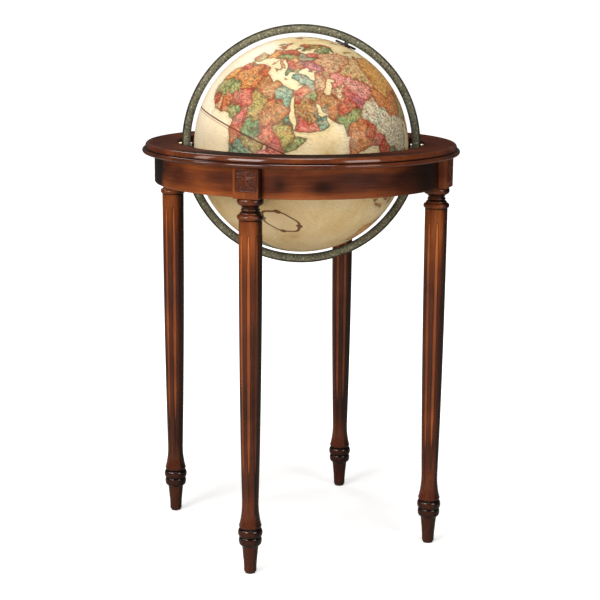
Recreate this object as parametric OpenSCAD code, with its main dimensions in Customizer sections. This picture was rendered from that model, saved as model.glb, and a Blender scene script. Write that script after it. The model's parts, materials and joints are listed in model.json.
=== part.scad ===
// Floor-standing terrestrial globe: a ball that spins inside a full meridian ring,
// which swings on two pins inside a round wooden horizon ring on four turned legs.
// Origin on the floor at the centre, +Z up, the meridian ring in the XZ plane at rest.

/* [Globe ball] */
// Outer diameter of the ball
ball_d = 406.4; // [380:0.1:412]
// Wall thickness of the two hemisphere shells
shell_t = 3; // [2:0.5:6]
// Tilt of the polar axis from the vertical, in degrees
axis_tilt = 23.5; // [15:0.5:35]

/* [Meridian ring] */
// Radial gap between the ball and the meridian ring
meridian_gap = 7.3; // [7:0.1:12]
// Radial width of the meridian ring
meridian_w = 16; // [12:1:18]
// Thickness of the meridian ring at its raised borders
meridian_t = 8; // [7:0.5:12]
// Width of each raised border
border_w = 2.8; // [1:0.1:4]
// Height of the borders over the graduated band
border_h = 0.7; // [0.3:0.1:1.5]

/* [Horizon ring] */
// Outer diameter of the horizon ring over its bead
rim_d = 602; // [590:1:640]
// Diameter of the opening that the meridian ring swings in
rim_opening_d = 464; // [462:1:480]
// Height of the horizon ring's top over the floor
rim_top = 768; // [700:1:850]
// Thickness of the horizon ring
rim_t = 19; // [17:1:30]
// Radius of the bead along the lower edge
bead_r = 4.4; // [3:0.1:5]
// Depth of the pivots below the top of the horizon ring
pivot_drop = 7; // [6:0.5:9]

/* [Apron and corner blocks] */
// Outer diameter of the apron
apron_d = 556; // [540:1:570]
// Thickness of the apron
apron_t = 20; // [16:1:24]
// Height of the apron and of the corner blocks
apron_h = 55; // [50:1:80]
// Side of the square corner blocks
block_w = 49; // [46:1:52]
// Side of the carved plaques
plaque_w = 39; // [34:1:42]
// Thickness of the carved plaques
plaque_t = 3; // [2:0.5:5]

/* [Legs] */
// Radius of the circle that the leg axes stand on
leg_circle_r = 267; // [262:1:272]
// Turn of the four legs about the vertical, in degrees
legs_turn = -19.2; // [-45:0.1:45]
// Diameter of the leg at the top of the shaft
shaft_d = 42; // [38:1:46]
// Diameter of the leg at the ankle
ankle_d = 30.5; // [28:0.5:34]
// Diameter of the foot where it meets the glide
foot_d = 23; // [21:0.5:26]
// Number of flutes on each leg
flute_count = 8; // [6:1:10]
// Radius of the flute cutter
flute_r = 5; // [3:0.5:6]
// Depth of the flutes at their upper end
flute_depth = 1.2; // [0.5:0.1:1.5]

/* [Hidden] */
$fn = 96;
eps = 0.1;
LEGS = ["front", "right", "back", "left"];
APRONS = ["front_right", "back_right", "back_left", "front_left"];
// Where each leg stopped when it was screwed in, as the angle of one flute from the front
leg_stop = [-8.5, 2.4, 18, 6.5];

ball_r = ball_d / 2;
meridian_in = ball_r + meridian_gap;
meridian_out = meridian_in + meridian_w;
pivot_z = rim_top - pivot_drop;
rim_r = rim_d / 2;
rim_in = rim_opening_d / 2;
rim_bottom = rim_top - rim_t;
block_z = rim_bottom - apron_h;
apron_out = apron_d / 2;
plaque_z = rim_bottom - 4 - plaque_w;

// Fasteners and small hardware
running_gap = 0.06;
pin_r = 2;
pin_hole_r = pin_r + running_gap;
insert_r = 4.5;
insert_l = 16;
dowel_r = 4;
dowel_l = 36;
dowel_z = block_z + 0.5 * apron_h;
dowel_x = -1;
bolt_r = 4;
bolt_in_leg = 38;
bolt_in_block = 32;
bolt_insert_r = 6;
bolt_insert_l = 20;
screw_r = 2;
screw_head_r = 4;
screw_head_h = 2.8;
screw_bite = 13;
screw_x = -14;
screw_y = 15;
counterbore_r = 4.6;
counterbore_h = 25;
press_gap = 0.05;
bore_run = 3;
screw_run = 1.4;
bolt_gap = 0.3;
bolt_run = 2;
dowel_run = 0.3;
screw_gap = 0.25;
plaque_proud = 0.5;
glide_h = 3;
glide_r = 9.5;
nail_r = 1.5;
nail_l = 12;

// Polar hardware, measured along the polar axis from the ball's centre
bush_r = 8;
bush_l = 13;
bush_flange_r = 10;
bush_flange_h = 0.8;
pole_top = sqrt(ball_r * ball_r - bush_r * bush_r);
dial_r = 20.5;
dial_h = 2.1;
dial_z = pole_top + bush_flange_h + 0.4;
nut_z = dial_z + dial_h + 0.4;
nut_top = meridian_in - 0.2;
nut_r = 4.2;
pin_inner = pole_top - bush_l - 6;
pin_outer = meridian_in + 11;
seam_h = 24;
seam_t = 2.2;

// A rounded bulge between two heights, as [radius, height] points, from z0 up to z1
function bulge(z0, z1, r0, r1, tip, steps = 10) = [
    for (k = [0:steps])
        let (a = 180 * k / steps, s = (1 - cos(a)) / 2, edge = r0 + (r1 - r0) * s)
        [edge + (tip - (r0 + r1) / 2) * sin(a), z0 + (z1 - z0) * s]
];

// Points on an elliptical arc about [cx, cz] with radii rx and rz
function arc(cx, cz, rx, rz, a0, a1, steps = 8) = [
    for (k = [0:steps])
        let (a = a0 + (a1 - a0) * k / steps)
        [cx + rx * cos(a), cz + rz * sin(a)]
];

// Radius of the shaft at height z, swelling quickly above the ankle and then straight
ankle_z = 136;
shaft_top = 655;
function shaft_radius(z) =
    (shaft_d - (shaft_d - ankle_d) * pow(1 - (z - ankle_z) / (shaft_top - ankle_z), 2.4)) / 2;

// Radius of the flare between the ankle and the upper foot bead
flare_z = 93;
flare_r = 20.3;
function flare_radius(z) =
    ankle_d / 2 + (flare_r - ankle_d / 2) * pow((ankle_z - z) / (ankle_z - flare_z), 2.2);

// Outline of the turned leg from the glide up to the block
function leg_outline() = concat(
    [[0, glide_h], [foot_d / 2 - 1, glide_h], [foot_d / 2, glide_h + 1], [12.4, 24], [14, 47]],
    [[14.6, 51], [16.4, 54]],
    bulge(55, 70.4, 18.2, 18.7, 21.1),
    bulge(70.5, 86.3, 18.7, 18.4, 22.5),
    bulge(86.4, flare_z, 18.4, flare_r, 20.4, 4),
    [for (z = [98:6:134]) [flare_radius(z), z]],
    [for (z = [136, 146, 160, 180, 210, 250, 300, 370, 450, 540, shaft_top]) [shaft_radius(z), z]],
    bulge(655.5, 665, 20.4, 20.2, 24.2),
    bulge(665.1, 668.5, 18.6, 18.4, 19.4, 4),
    [[15.6, 670.2], [14.6, 671]],
    bulge(671.2, 675, 14.6, 14.6, 15.8, 6),
    [[14.1, 676], [14.2, 677.5], [15.6, 679.2], [19, 681.6]],
    bulge(682, block_z, 20.4, 20.6, 23.9),
    [[0, block_z]]
);

// Moves to a leg's axis: local +X points outwards, local +Y along the apron
module at_leg(i) {
    rotate([0, 0, legs_turn + 90 * (i - 1)])
        translate([leg_circle_r, 0, 0])
            children();
}

// Tilts the vertical to the polar axis, with the origin at the ball's centre
module on_polar_axis() {
    translate([0, 0, pivot_z])
        rotate([0, axis_tilt, 0])
            children();
}

// Lays a vertical part along the pivot axis, pointing to -X (side 0) or +X (side 1)
module on_pivot_axis(side) {
    translate([0, 0, pivot_z])
        rotate([0, side == 1 ? 90 : -90, 0])
            children();
}

module horizon_ring() {
    step_z = rim_bottom + 2 * bead_r;
    ovolo_r = rim_r - 10.5;
    color("saddlebrown")
        difference() {
            rotate_extrude()
                polygon(concat(
                    [[rim_in, rim_bottom]],
                    arc(rim_r - bead_r, rim_bottom + bead_r, bead_r, bead_r, -90, 80),
                    [[rim_r - 6.6, step_z], [rim_r - 5.6, step_z + 1]],
                    arc(ovolo_r, step_z + 1, 5, rim_top - step_z - 1, 0, 90),
                    arc(rim_in + 2, rim_top - 2, 2, 2, 90, 180, 4)));
            for (side = [0, 1])
                on_pivot_axis(side)
                    translate([0, 0, rim_in - 2])
                        cylinder(r = insert_r + press_gap, h = insert_l + bore_run);
            for (i = [0:3], s = [-1, 1])
                at_leg(i)
                    translate([screw_x, s * screw_y, rim_bottom - 1])
                        cylinder(r = screw_r + press_gap, h = screw_bite + screw_run);
        }
}

// One of the four curved rails between two corner blocks
module apron(i) {
    color("sienna")
        difference() {
            rotate([0, 0, legs_turn + 90 * (i - 1)])
                rotate_extrude(angle = 90)
                    translate([apron_out - apron_t, block_z])
                        square([apron_t, apron_h]);
            for (k = [i, i + 1])
                at_leg(k)
                    translate([-block_w, -block_w / 2, block_z - 1])
                        cube([2 * block_w, block_w, apron_h + 2]);
            for (k = [i, i + 1])
                at_leg(k)
                    translate([dowel_x, 0, dowel_z])
                        rotate([90, 0, 0])
                            cylinder(r = dowel_r + press_gap, h = block_w + dowel_l + 1, center = true);
        }
}

module corner_block(i) {
    half = block_w / 2;
    color("sienna")
        at_leg(i)
            difference() {
                translate([-half, -half, block_z])
                    cube([block_w, block_w, apron_h]);
                translate([half - plaque_t + plaque_proud, -plaque_w / 2 - press_gap, plaque_z - press_gap])
                    cube([plaque_t, plaque_w + 2 * press_gap, plaque_w + 2 * press_gap]);
                translate([0, 0, block_z - 1])
                    cylinder(r = bolt_insert_r + press_gap, h = bolt_insert_l + 1);
                translate([0, 0, block_z])
                    cylinder(r = bolt_r + bolt_gap, h = bolt_in_block + bolt_run);
                for (s = [-1, 1]) {
                    translate([dowel_x, s * (half - dowel_l / 4 + eps), dowel_z])
                        rotate([90, 0, 0])
                            cylinder(r = dowel_r + press_gap, h = dowel_l / 2 + dowel_run, center = true);
                    translate([screw_x, s * screw_y, block_z - 1])
                        cylinder(r = counterbore_r, h = counterbore_h + 1);
                    translate([screw_x, s * screw_y, block_z])
                        cylinder(r = screw_r + screw_gap, h = apron_h + 1);
                }
            }
}

// Carved plaque: a framed field with a four-petalled flower and corner leaves
module carved_plaque(i) {
    petal_at = plaque_w / 5;
    leaf_at = plaque_w / 3.1;
    back = block_w / 2 - plaque_t + plaque_proud;
    bud_r = 3.4;
    petal_r = 5;
    leaf_r = 5.2;
    color("maroon")
        at_leg(i)
            translate([back, 0, plaque_z + plaque_w / 2])
                rotate([0, 90, 0])
                    intersection() {
                        union() {
                            translate([-plaque_w / 2, -plaque_w / 2, 0])
                                cube([plaque_w, plaque_w, plaque_t - 1]);
                            difference() {
                                translate([-plaque_w / 2, -plaque_w / 2, 0])
                                    cube([plaque_w, plaque_w, plaque_t]);
                                translate([1 - plaque_w / 2, 1 - plaque_w / 2, -1])
                                    cube([plaque_w - 2, plaque_w - 2, plaque_t + 2]);
                            }
                            translate([0, 0, plaque_t - 2.6])
                                sphere(r = bud_r);
                            for (a = [0:90:270])
                                rotate([0, 0, a]) {
                                    translate([petal_at, 0, plaque_t - 4.6])
                                        sphere(r = petal_r);
                                    rotate([0, 0, 45])
                                        translate([leaf_at, 0, plaque_t - 5])
                                            sphere(r = leaf_r);
                                }
                        }
                        translate([-plaque_w / 2, -plaque_w / 2, 0])
                            cube([plaque_w, plaque_w, 2 * plaque_t]);
                    }
}

// Straight cutter for one flute: it fades out where the shaft narrows to the ankle
module flute_cutter() {
    low_z = 122;
    high_z = 627;
    mid_z = 200;
    lean = atan((shaft_radius(high_z) - shaft_radius(mid_z)) / (high_z - mid_z));
    cutter_l = (high_z - low_z) / cos(lean);
    translate([shaft_radius(high_z) + flute_r - flute_depth, 0, high_z])
        rotate([0, 180 + lean, 0]) {
            cylinder(r = flute_r, h = cutter_l, $fn = 48);
            sphere(r = flute_r, $fn = 48);
        }
}

module leg(i) {
    color("sienna")
        at_leg(i)
            rotate([0, 0, leg_stop[i] - 90 - (legs_turn + 90 * (i - 1))])
                difference() {
                    rotate_extrude()
                        polygon(leg_outline());
                    for (k = [0:flute_count - 1])
                        rotate([0, 0, 360 * k / flute_count])
                            flute_cutter();
                    translate([0, 0, block_z - bolt_in_leg - 1])
                        cylinder(r = bolt_r + press_gap, h = bolt_in_leg + 2);
                    translate([0, 0, glide_h - 1])
                        cylinder(r = nail_r + press_gap, h = nail_l + 2, $fn = 24);
                }
}

module foot_glides() {
    color("dimgray")
        for (i = [0:3])
            at_leg(i) {
                cylinder(r = glide_r, h = glide_h);
                cylinder(r = nail_r, h = glide_h + nail_l, $fn = 24);
            }
}

// Hanger bolts: a wood screw in the leg, a machine screw in the block's insert
module leg_bolts() {
    color("silver")
        for (i = [0:3])
            at_leg(i)
                translate([0, 0, block_z - bolt_in_leg])
                    cylinder(r = bolt_r, h = bolt_in_leg + bolt_in_block, $fn = 32);
}

module leg_inserts() {
    color("gold")
        for (i = [0:3])
            at_leg(i)
                translate([0, 0, block_z])
                    difference() {
                        cylinder(r = bolt_insert_r, h = bolt_insert_l, $fn = 32);
                        translate([0, 0, -1])
                            cylinder(r = bolt_r + press_gap, h = bolt_insert_l + 2, $fn = 32);
                    }
}

module apron_dowels() {
    color("burlywood")
        for (i = [0:3], s = [-1, 1])
            at_leg(i)
                translate([dowel_x, s * block_w / 2, dowel_z])
                    rotate([90, 0, 0])
                        cylinder(r = dowel_r, h = dowel_l - 1, center = true, $fn = 32);
}

module rim_screws() {
    seat_z = block_z + counterbore_h;
    color("silver")
        for (i = [0:3], s = [-1, 1])
            at_leg(i)
                translate([screw_x, s * screw_y, seat_z])
                    difference() {
                        union() {
                            cylinder(r = screw_r, h = rim_bottom - seat_z + screw_bite, $fn = 32);
                            translate([0, 0, -screw_head_h])
                                cylinder(r = screw_head_r, h = screw_head_h, $fn = 32);
                        }
                        translate([-screw_head_r - 1, -0.5, -screw_head_h - 1])
                            cube([2 * screw_head_r + 2, 1, 2.2]);
                    }
}

module pivot_inserts() {
    color("gold")
        for (side = [0, 1])
            on_pivot_axis(side)
                translate([0, 0, rim_in])
                    difference() {
                        cylinder(r = insert_r, h = insert_l, $fn = 32);
                        translate([0, 0, -1])
                            cylinder(r = pin_r + press_gap, h = insert_l + 2, $fn = 32);
                    }
}

module pivot_washers() {
    washer_gap = 0.4;
    color("gold")
        for (side = [0, 1])
            on_pivot_axis(side)
                translate([0, 0, meridian_out + washer_gap])
                    difference() {
                        cylinder(r = insert_r, h = rim_in - meridian_out - 2 * washer_gap, $fn = 48);
                        translate([0, 0, -1])
                            cylinder(r = pin_hole_r, h = rim_in, $fn = 48);
                    }
}

// Shoulder screw from inside the meridian ring into the horizon ring's insert
module pivot_screw(side) {
    head_h = 2.6;
    head_gap = 0.4;
    head_top = meridian_in - head_gap;
    color("silver")
        on_pivot_axis(side)
            difference() {
                union() {
                    translate([0, 0, head_top - head_h])
                        cylinder(r = insert_r, h = head_h, $fn = 48);
                    translate([0, 0, head_top - 1])
                        cylinder(r = pin_r, h = rim_in + insert_l - bore_run - head_top, $fn = 48);
                }
                translate([-insert_r - 1, -0.5, head_top - head_h - 1])
                    cube([2 * insert_r + 2, 1, 2]);
            }
}

module meridian_ring() {
    half_t = meridian_t / 2;
    color("darkolivegreen")
        translate([0, 0, pivot_z])
            difference() {
                rotate([90, 0, 0])
                    rotate_extrude($fn = 180)
                        difference() {
                            translate([meridian_in, -half_t])
                                square([meridian_w, meridian_t]);
                            for (s = [-1, 1])
                                translate([meridian_in + border_w, s * half_t - border_h])
                                    square([meridian_w - 2 * border_w, 2 * border_h]);
                        }
                for (side = [-90, 90])
                    rotate([0, side, 0])
                        translate([0, 0, meridian_in - 2])
                            cylinder(r = pin_hole_r, h = meridian_w + 4, $fn = 48);
                for (pole = [0, 180])
                    rotate([0, axis_tilt + pole, 0])
                        translate([0, 0, meridian_in - 2])
                            cylinder(r = pin_r + press_gap, h = pin_outer - meridian_in + bore_run, $fn = 48);
            }
}

// Polar pin, pressed into the meridian ring and running in the ball's bush
module polar_pin(pole) {
    color("silver")
        on_polar_axis()
            rotate([pole, 0, 0])
                translate([0, 0, pin_inner])
                    cylinder(r = pin_r, h = pin_outer - pin_inner, $fn = 48);
}

module polar_nut(pole) {
    color("silver")
        on_polar_axis()
            rotate([pole, 0, 0])
                translate([0, 0, nut_z])
                    difference() {
                        cylinder(r = nut_r, h = nut_top - nut_z, $fn = 6);
                        translate([0, 0, -1])
                            cylinder(r = pin_r + press_gap, h = 20, $fn = 48);
                    }
}

// Hollow half of the ball, with a hole for the polar bush
module shell(pole) {
    color("wheat")
        on_polar_axis()
            rotate([pole, 0, 0])
                difference() {
                    sphere(r = ball_r, $fn = 120);
                    sphere(r = ball_r - shell_t, $fn = 120);
                    translate([-ball_d, -ball_d, -2 * ball_d])
                        cube(2 * ball_d);
                    translate([0, 0, ball_r - 20])
                        cylinder(r = bush_r + press_gap, h = 40);
                }
}

// Glued band inside the ball where the two shells meet
module seam_band() {
    band_r = sqrt(pow(ball_r - shell_t, 2) - pow(seam_h / 2, 2));
    color("tan")
        on_polar_axis()
            rotate_extrude($fn = 120)
                translate([band_r - seam_t, -seam_h / 2])
                    square([seam_t, seam_h]);
}

module polar_bush(pole) {
    color("gold")
        on_polar_axis()
            rotate([pole, 0, 0])
                difference() {
                    union() {
                        translate([0, 0, pole_top - bush_l])
                            cylinder(r = bush_r, h = bush_l + eps, $fn = 48);
                        translate([0, 0, pole_top])
                            cylinder(r = bush_flange_r, h = bush_flange_h, $fn = 48);
                    }
                    translate([0, 0, pole_top - bush_l - 1])
                        cylinder(r = pin_hole_r, h = bush_l + 4, $fn = 48);
                }
}

// Hour dial that turns on the north pin, with a raised edge and a hub
module time_dial() {
    edge_w = 1.2;
    hub_r = 5.5;
    ease = 0.4;
    sunk_h = dial_h - 0.5;
    color("black")
        on_polar_axis()
            translate([0, 0, dial_z])
                rotate_extrude()
                    polygon([
                        [pin_hole_r, 0], [dial_r - ease, 0], [dial_r, ease], [dial_r, dial_h - ease],
                        [dial_r - ease, dial_h], [dial_r - edge_w, dial_h],
                        [dial_r - edge_w - ease, sunk_h], [hub_r + ease, sunk_h],
                        [hub_r, dial_h], [pin_hole_r, dial_h]]);
}

horizon_ring();
for (i = [0:3])
    apron(i);
for (i = [0:3])
    corner_block(i);
for (i = [0:3])
    carved_plaque(i);
for (i = [0:3])
    leg(i);
foot_glides();
leg_bolts();
leg_inserts();
apron_dowels();
rim_screws();
pivot_inserts();
pivot_washers();
pivot_screw(0);  // pivot_screw_left
pivot_screw(1);  // pivot_screw_right
meridian_ring();
polar_pin(0);  // north_pin
polar_pin(180);  // south_pin
polar_nut(0);  // north_nut
polar_nut(180);  // south_nut
shell(0);  // north_shell
shell(180);  // south_shell
seam_band();
polar_bush(0);  // north_bush
polar_bush(180);  // south_bush
time_dial();
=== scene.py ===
"""Looks of the floor-standing globe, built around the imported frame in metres."""
import json
import math

import bmesh
import bpy
import numpy as np
from mathutils import Matrix, Vector


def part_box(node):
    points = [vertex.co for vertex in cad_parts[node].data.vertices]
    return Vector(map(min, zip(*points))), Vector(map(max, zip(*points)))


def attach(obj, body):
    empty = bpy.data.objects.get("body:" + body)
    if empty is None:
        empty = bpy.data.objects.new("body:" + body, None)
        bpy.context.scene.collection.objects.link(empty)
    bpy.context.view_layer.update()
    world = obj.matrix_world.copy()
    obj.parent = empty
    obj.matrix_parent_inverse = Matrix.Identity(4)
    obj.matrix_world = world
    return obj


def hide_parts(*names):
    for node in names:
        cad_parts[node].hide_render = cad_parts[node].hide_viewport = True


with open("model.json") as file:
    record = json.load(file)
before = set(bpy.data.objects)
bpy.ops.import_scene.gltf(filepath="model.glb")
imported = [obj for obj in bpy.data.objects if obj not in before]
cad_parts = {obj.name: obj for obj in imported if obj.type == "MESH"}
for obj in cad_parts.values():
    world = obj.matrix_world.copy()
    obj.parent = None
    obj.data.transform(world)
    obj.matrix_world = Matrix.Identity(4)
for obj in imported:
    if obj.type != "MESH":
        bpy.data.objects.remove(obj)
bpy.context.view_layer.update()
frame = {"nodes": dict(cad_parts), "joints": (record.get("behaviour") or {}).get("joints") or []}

MM = 0.001
LEGS = ["front", "right", "back", "left"]
APRONS = ["front_right", "back_right", "back_left", "front_left"]
JOINTS = {joint["name"]: joint for joint in frame["joints"]}
CENTRE = Vector(JOINTS["meridian_swing"]["pos_m"])
TILT = math.acos(JOINTS["globe_spin"]["axis"][2])
POLAR = Matrix.Translation(CENTRE) @ Matrix.Rotation(TILT, 4, "Y")
BALL_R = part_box("south_shell")[0].y * -1
RIM_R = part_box("horizon_ring")[1].x
RIM_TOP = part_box("horizon_ring")[1].z
RIM_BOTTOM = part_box("horizon_ring")[0].z
BLOCK_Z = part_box("corner_block_front")[0].z
MERIDIAN_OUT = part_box("meridian_ring")[1].x
MERIDIAN_W = 16 * MM
MERIDIAN_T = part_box("meridian_ring")[1].y
LEG_AXES = [(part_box(f"leg_{leg}")[0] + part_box(f"leg_{leg}")[1]) / 2 for leg in LEGS]
LEG_ANGLES = [math.atan2(axis.y, axis.x) for axis in LEG_AXES]
LEG_CIRCLE = math.hypot(LEG_AXES[0].x, LEG_AXES[0].y)
BLOCK_W = 49 * MM
APRON_OUT = 278 * MM
APRON_IN = 258 * MM


# ---------- meshes ----------

def mesh_piece(name, points, faces, material, sharp=35):
    """A smooth-shaded object from points in metres, with creases above the sharp angle."""
    mesh = bpy.data.meshes.new(name)
    mesh.from_pydata([tuple(p) for p in points], [], [tuple(int(i) for i in f) for f in faces])
    work = bmesh.new()
    work.from_mesh(mesh)
    bmesh.ops.recalc_face_normals(work, faces=work.faces)
    work.to_mesh(mesh)
    work.free()
    mesh.shade_smooth()
    mesh.set_sharp_from_angle(angle=math.radians(sharp))
    mesh.materials.append(material)
    piece = bpy.data.objects.new(name, mesh)
    bpy.context.scene.collection.objects.link(piece)
    return piece


def quads(rows, columns, closed):
    """Faces of a grid whose points run row by row; closed joins the last column to the first."""
    faces = []
    last = columns if closed else columns - 1
    for i in range(rows - 1):
        for j in range(last):
            k = (j + 1) % columns
            faces.append((i * columns + j, i * columns + k, (i + 1) * columns + k, (i + 1) * columns + j))
    return faces


def hoop(rows, columns):
    """Faces of a grid that is closed both ways, like the skin of a ring."""
    end = (rows - 1) * columns
    seam = [(end + j, end + (j + 1) % columns, (j + 1) % columns, j) for j in range(columns)]
    return quads(rows, columns, True) + seam


def end_caps(size, total):
    """One face over the first ring of points and one over the last."""
    return [tuple(range(size)), tuple(range(total - size, total))]


def corners_of(piece):
    """The point at every face corner, and the face that the corner belongs to."""
    mesh = piece.data
    corners = np.empty(len(mesh.loops), int)
    mesh.loops.foreach_get("vertex_index", corners)
    totals = np.empty(len(mesh.polygons), int)
    mesh.polygons.foreach_get("loop_total", totals)
    return corners, np.repeat(np.arange(len(totals)), totals)


def store(piece, name, values, domain="POINT"):
    """Keeps one number or one vector per point or corner as a named attribute."""
    values = np.asarray(values, float)
    kind = "FLOAT" if values.ndim == 1 else "FLOAT_VECTOR"
    layer = piece.data.attributes.new(name, kind, domain)
    layer.data.foreach_set("value" if kind == "FLOAT" else "vector", values.ravel())


def points_of(piece):
    """The position of every point, one row each."""
    points = np.empty(len(piece.data.vertices) * 3)
    piece.data.vertices.foreach_get("co", points)
    return points.reshape(-1, 3)


def smooth(low, high, x):
    """0 below low, 1 above high, and a smooth step between them."""
    t = np.clip((np.asarray(x, float) - low) / (high - low), 0, 1)
    return t * t * (3 - 2 * t)


def bell(x, middle, width):
    """1 in the middle, falling off smoothly over the width."""
    return np.exp(-((np.asarray(x, float) - middle) / width) ** 2)


def waves(points, size, seed, count=28):
    """Smooth seeded noise from -1 to 1: plane waves whose lengths spread around size."""
    rng = np.random.default_rng(seed)
    ways = rng.normal(size=(count, 3))
    ways /= np.linalg.norm(ways, axis=1)[:, None]
    turns = 2 * np.pi / (size * rng.uniform(0.5, 2.0, count))
    phases = rng.uniform(0, 2 * np.pi, count)
    total = np.zeros(len(points))
    for way, turn, phase in zip(ways, turns, phases):
        total += np.sin(points @ way * turn + phase)
    return total * math.sqrt(2 / count) / 2


def bulge(z0, z1, r0, r1, tip, steps=12):
    """A rounded bulge between two heights, as (radius, height) points."""
    points = []
    for k in range(steps + 1):
        a = math.pi * k / steps
        s = (1 - math.cos(a)) / 2
        points.append((r0 + (r1 - r0) * s + (tip - (r0 + r1) / 2) * math.sin(a), z0 + (z1 - z0) * s))
    return points


def arc(cx, cz, rx, rz, a0, a1, steps=12):
    """Points on an elliptical arc, with the angles in degrees."""
    angles = [math.radians(a0 + (a1 - a0) * k / steps) for k in range(steps + 1)]
    return [(cx + rx * math.cos(a), cz + rz * math.sin(a)) for a in angles]


# ---------- materials ----------

def srgb(r, g, b):
    """A linear colour from screen values of 0 to 255."""
    steps = [v / 255 for v in (r, g, b)]
    return tuple(v / 12.92 if v <= 0.04045 else ((v + 0.055) / 1.055) ** 2.4 for v in steps) + (1.0,)


class Shader:
    """A node material that is put together with short calls."""

    def __init__(self, name):
        self.material = bpy.data.materials.new(name)
        self.material.use_nodes = True
        self.tree = self.material.node_tree
        self.tree.nodes.clear()

    def node(self, kind, inputs, **settings):
        made = self.tree.nodes.new("ShaderNode" + kind)
        for key, value in settings.items():
            setattr(made, key, value)
        for key, value in inputs.items():
            if isinstance(value, bpy.types.NodeSocket):
                self.tree.links.new(value, made.inputs[key])
            else:
                made.inputs[key].default_value = value
        return made

    def math(self, operation, a, b=0.0, clamp=False):
        return self.node("Math", {0: a, 1: b}, operation=operation, use_clamp=clamp).outputs[0]

    def swing(self, noise, amount):
        """A noise of 0 to 1 turned into a change of up to half the amount either way."""
        return self.math("MULTIPLY", self.math("SUBTRACT", noise, 0.5), amount)

    def over(self, below, colour, mask, amount):
        """Paints a colour over another where the mask is high."""
        return self.mix(self.math("MULTIPLY", mask, amount), below, colour)

    def attribute(self, name, output="Fac"):
        return self.node("Attribute", {}, attribute_name=name).outputs[output]

    def scaled(self, vector, scale, shift=(0, 0, 0)):
        return self.node("Mapping", {"Vector": vector, "Scale": scale, "Location": shift}).outputs[0]

    def noise(self, vector, scale, detail=4, rough=0.55, bend=0.0):
        inputs = {"Vector": vector, "Scale": scale, "Detail": detail, "Roughness": rough}
        return self.node("TexNoise", inputs | {"Distortion": bend}).outputs[0]

    def step(self, value, low, high, start=0.0, end=1.0):
        inputs = {"Value": value, "From Min": low, "From Max": high, "To Min": start, "To Max": end}
        return self.node("MapRange", inputs, interpolation_type="SMOOTHSTEP").outputs[0]

    def ramp(self, factor, stops):
        made = self.node("ValToRGB", {"Fac": factor})
        band = made.color_ramp
        while len(band.elements) < len(stops):
            band.elements.new(0.5)
        for element, (place, colour) in zip(band.elements, stops):
            element.position = place
            element.color = colour
        return made.outputs["Color"]

    def mix(self, factor, a, b, blend="MIX"):
        made = self.node("Mix", {0: factor, 6: a, 7: b}, data_type="RGBA", blend_type=blend)
        return made.outputs[2]

    def bump(self, height, strength, distance, normal=None):
        inputs = {"Height": height, "Strength": strength, "Distance": distance}
        if normal is not None:
            inputs["Normal"] = normal
        return self.node("Bump", inputs).outputs[0]

    def position(self):
        return self.node("TexCoord", {}).outputs["Object"]

    def finish(self, **inputs):
        named = {key.replace("_", " "): value for key, value in inputs.items()}
        surface = self.node("BsdfPrincipled", named)
        out = self.node("OutputMaterial", {})
        self.tree.links.new(surface.outputs[0], out.inputs[0])
        return self.material


def wood(name, figure=1.0, polish=0.3, gloss=0.45, worn=False):
    """Burnished walnut: long grain, fine pores, orange zones of tone and painted light, and dark glaze
    and painted shade in hollows, creases and on sides turned from the lamps.
    """
    s = Shader(name)
    grain = s.attribute("grain", "Vector")
    streaks = s.noise(s.scaled(grain, (5, 110, 110)), 1, 6, 0.6, 0.6)
    fibres = s.noise(s.scaled(grain, (24, 700, 700)), 1, 3, 0.6)
    clouds = s.noise(s.scaled(grain, (7, 13, 13)), 1, 3, 0.5, 0.4)
    # this attribute lifts the tone towards orange: partly the wood's own tone, partly painted light and
    # painted highlights
    tone_and_painted_light = s.math("ADD", s.attribute("tone_and_painted_light"), s.swing(clouds, 0.9 * figure))
    tone = s.math("ADD", tone_and_painted_light, s.swing(streaks, 0.42 * figure))
    tone = s.math("ADD", tone, s.swing(fibres, 0.22), clamp=True)
    colour = s.ramp(tone, [
        (0.0, srgb(20, 9, 7)), (0.22, srgb(48, 21, 13)), (0.45, srgb(88, 41, 22)),
        (0.7, srgb(136, 70, 32)), (1.0, srgb(190, 106, 50))])
    # painted shade: this attribute pulls the colour towards near-black, partly glaze and partly shade in
    # hollows, creases and on sides turned from the lamps
    glaze_and_painted_shade = s.step(s.attribute("glaze_and_painted_shade"), 0.0, 1.0)
    colour = s.mix(glaze_and_painted_shade, colour, srgb(20, 8, 6))
    roughness = s.step(fibres, 0.25, 0.8, polish - 0.05, polish + 0.14)
    relief = s.bump(streaks, 0.2, 0.0003)
    relief = s.bump(fibres, 0.25, 0.00012, relief)
    if worn:
        dull = s.attribute("dull")
        roughness = s.math("ADD", roughness, s.math("MULTIPLY", dull, 0.5), clamp=True)
        gloss = s.math("MULTIPLY", s.math("SUBTRACT", 1.0, dull), gloss)
    return s.finish(
        Base_Color=colour, Roughness=roughness, Normal=relief, Coat_Roughness=0.07, Coat_IOR=1.5,
        Specular_IOR_Level=0.08 if worn else 0.2, Coat_Weight=gloss)


def dowel_wood():
    """Pale plain beech."""
    s = Shader("beech_dowel")
    grain = s.noise(s.scaled(s.position(), (180, 60, 180)), 1, 5, 0.6)
    colour = s.ramp(grain, [(0.25, srgb(196, 150, 100)), (0.75, srgb(226, 188, 138))])
    return s.finish(Base_Color=colour, Roughness=0.62, Normal=s.bump(grain, 0.3, 0.0002))


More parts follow.
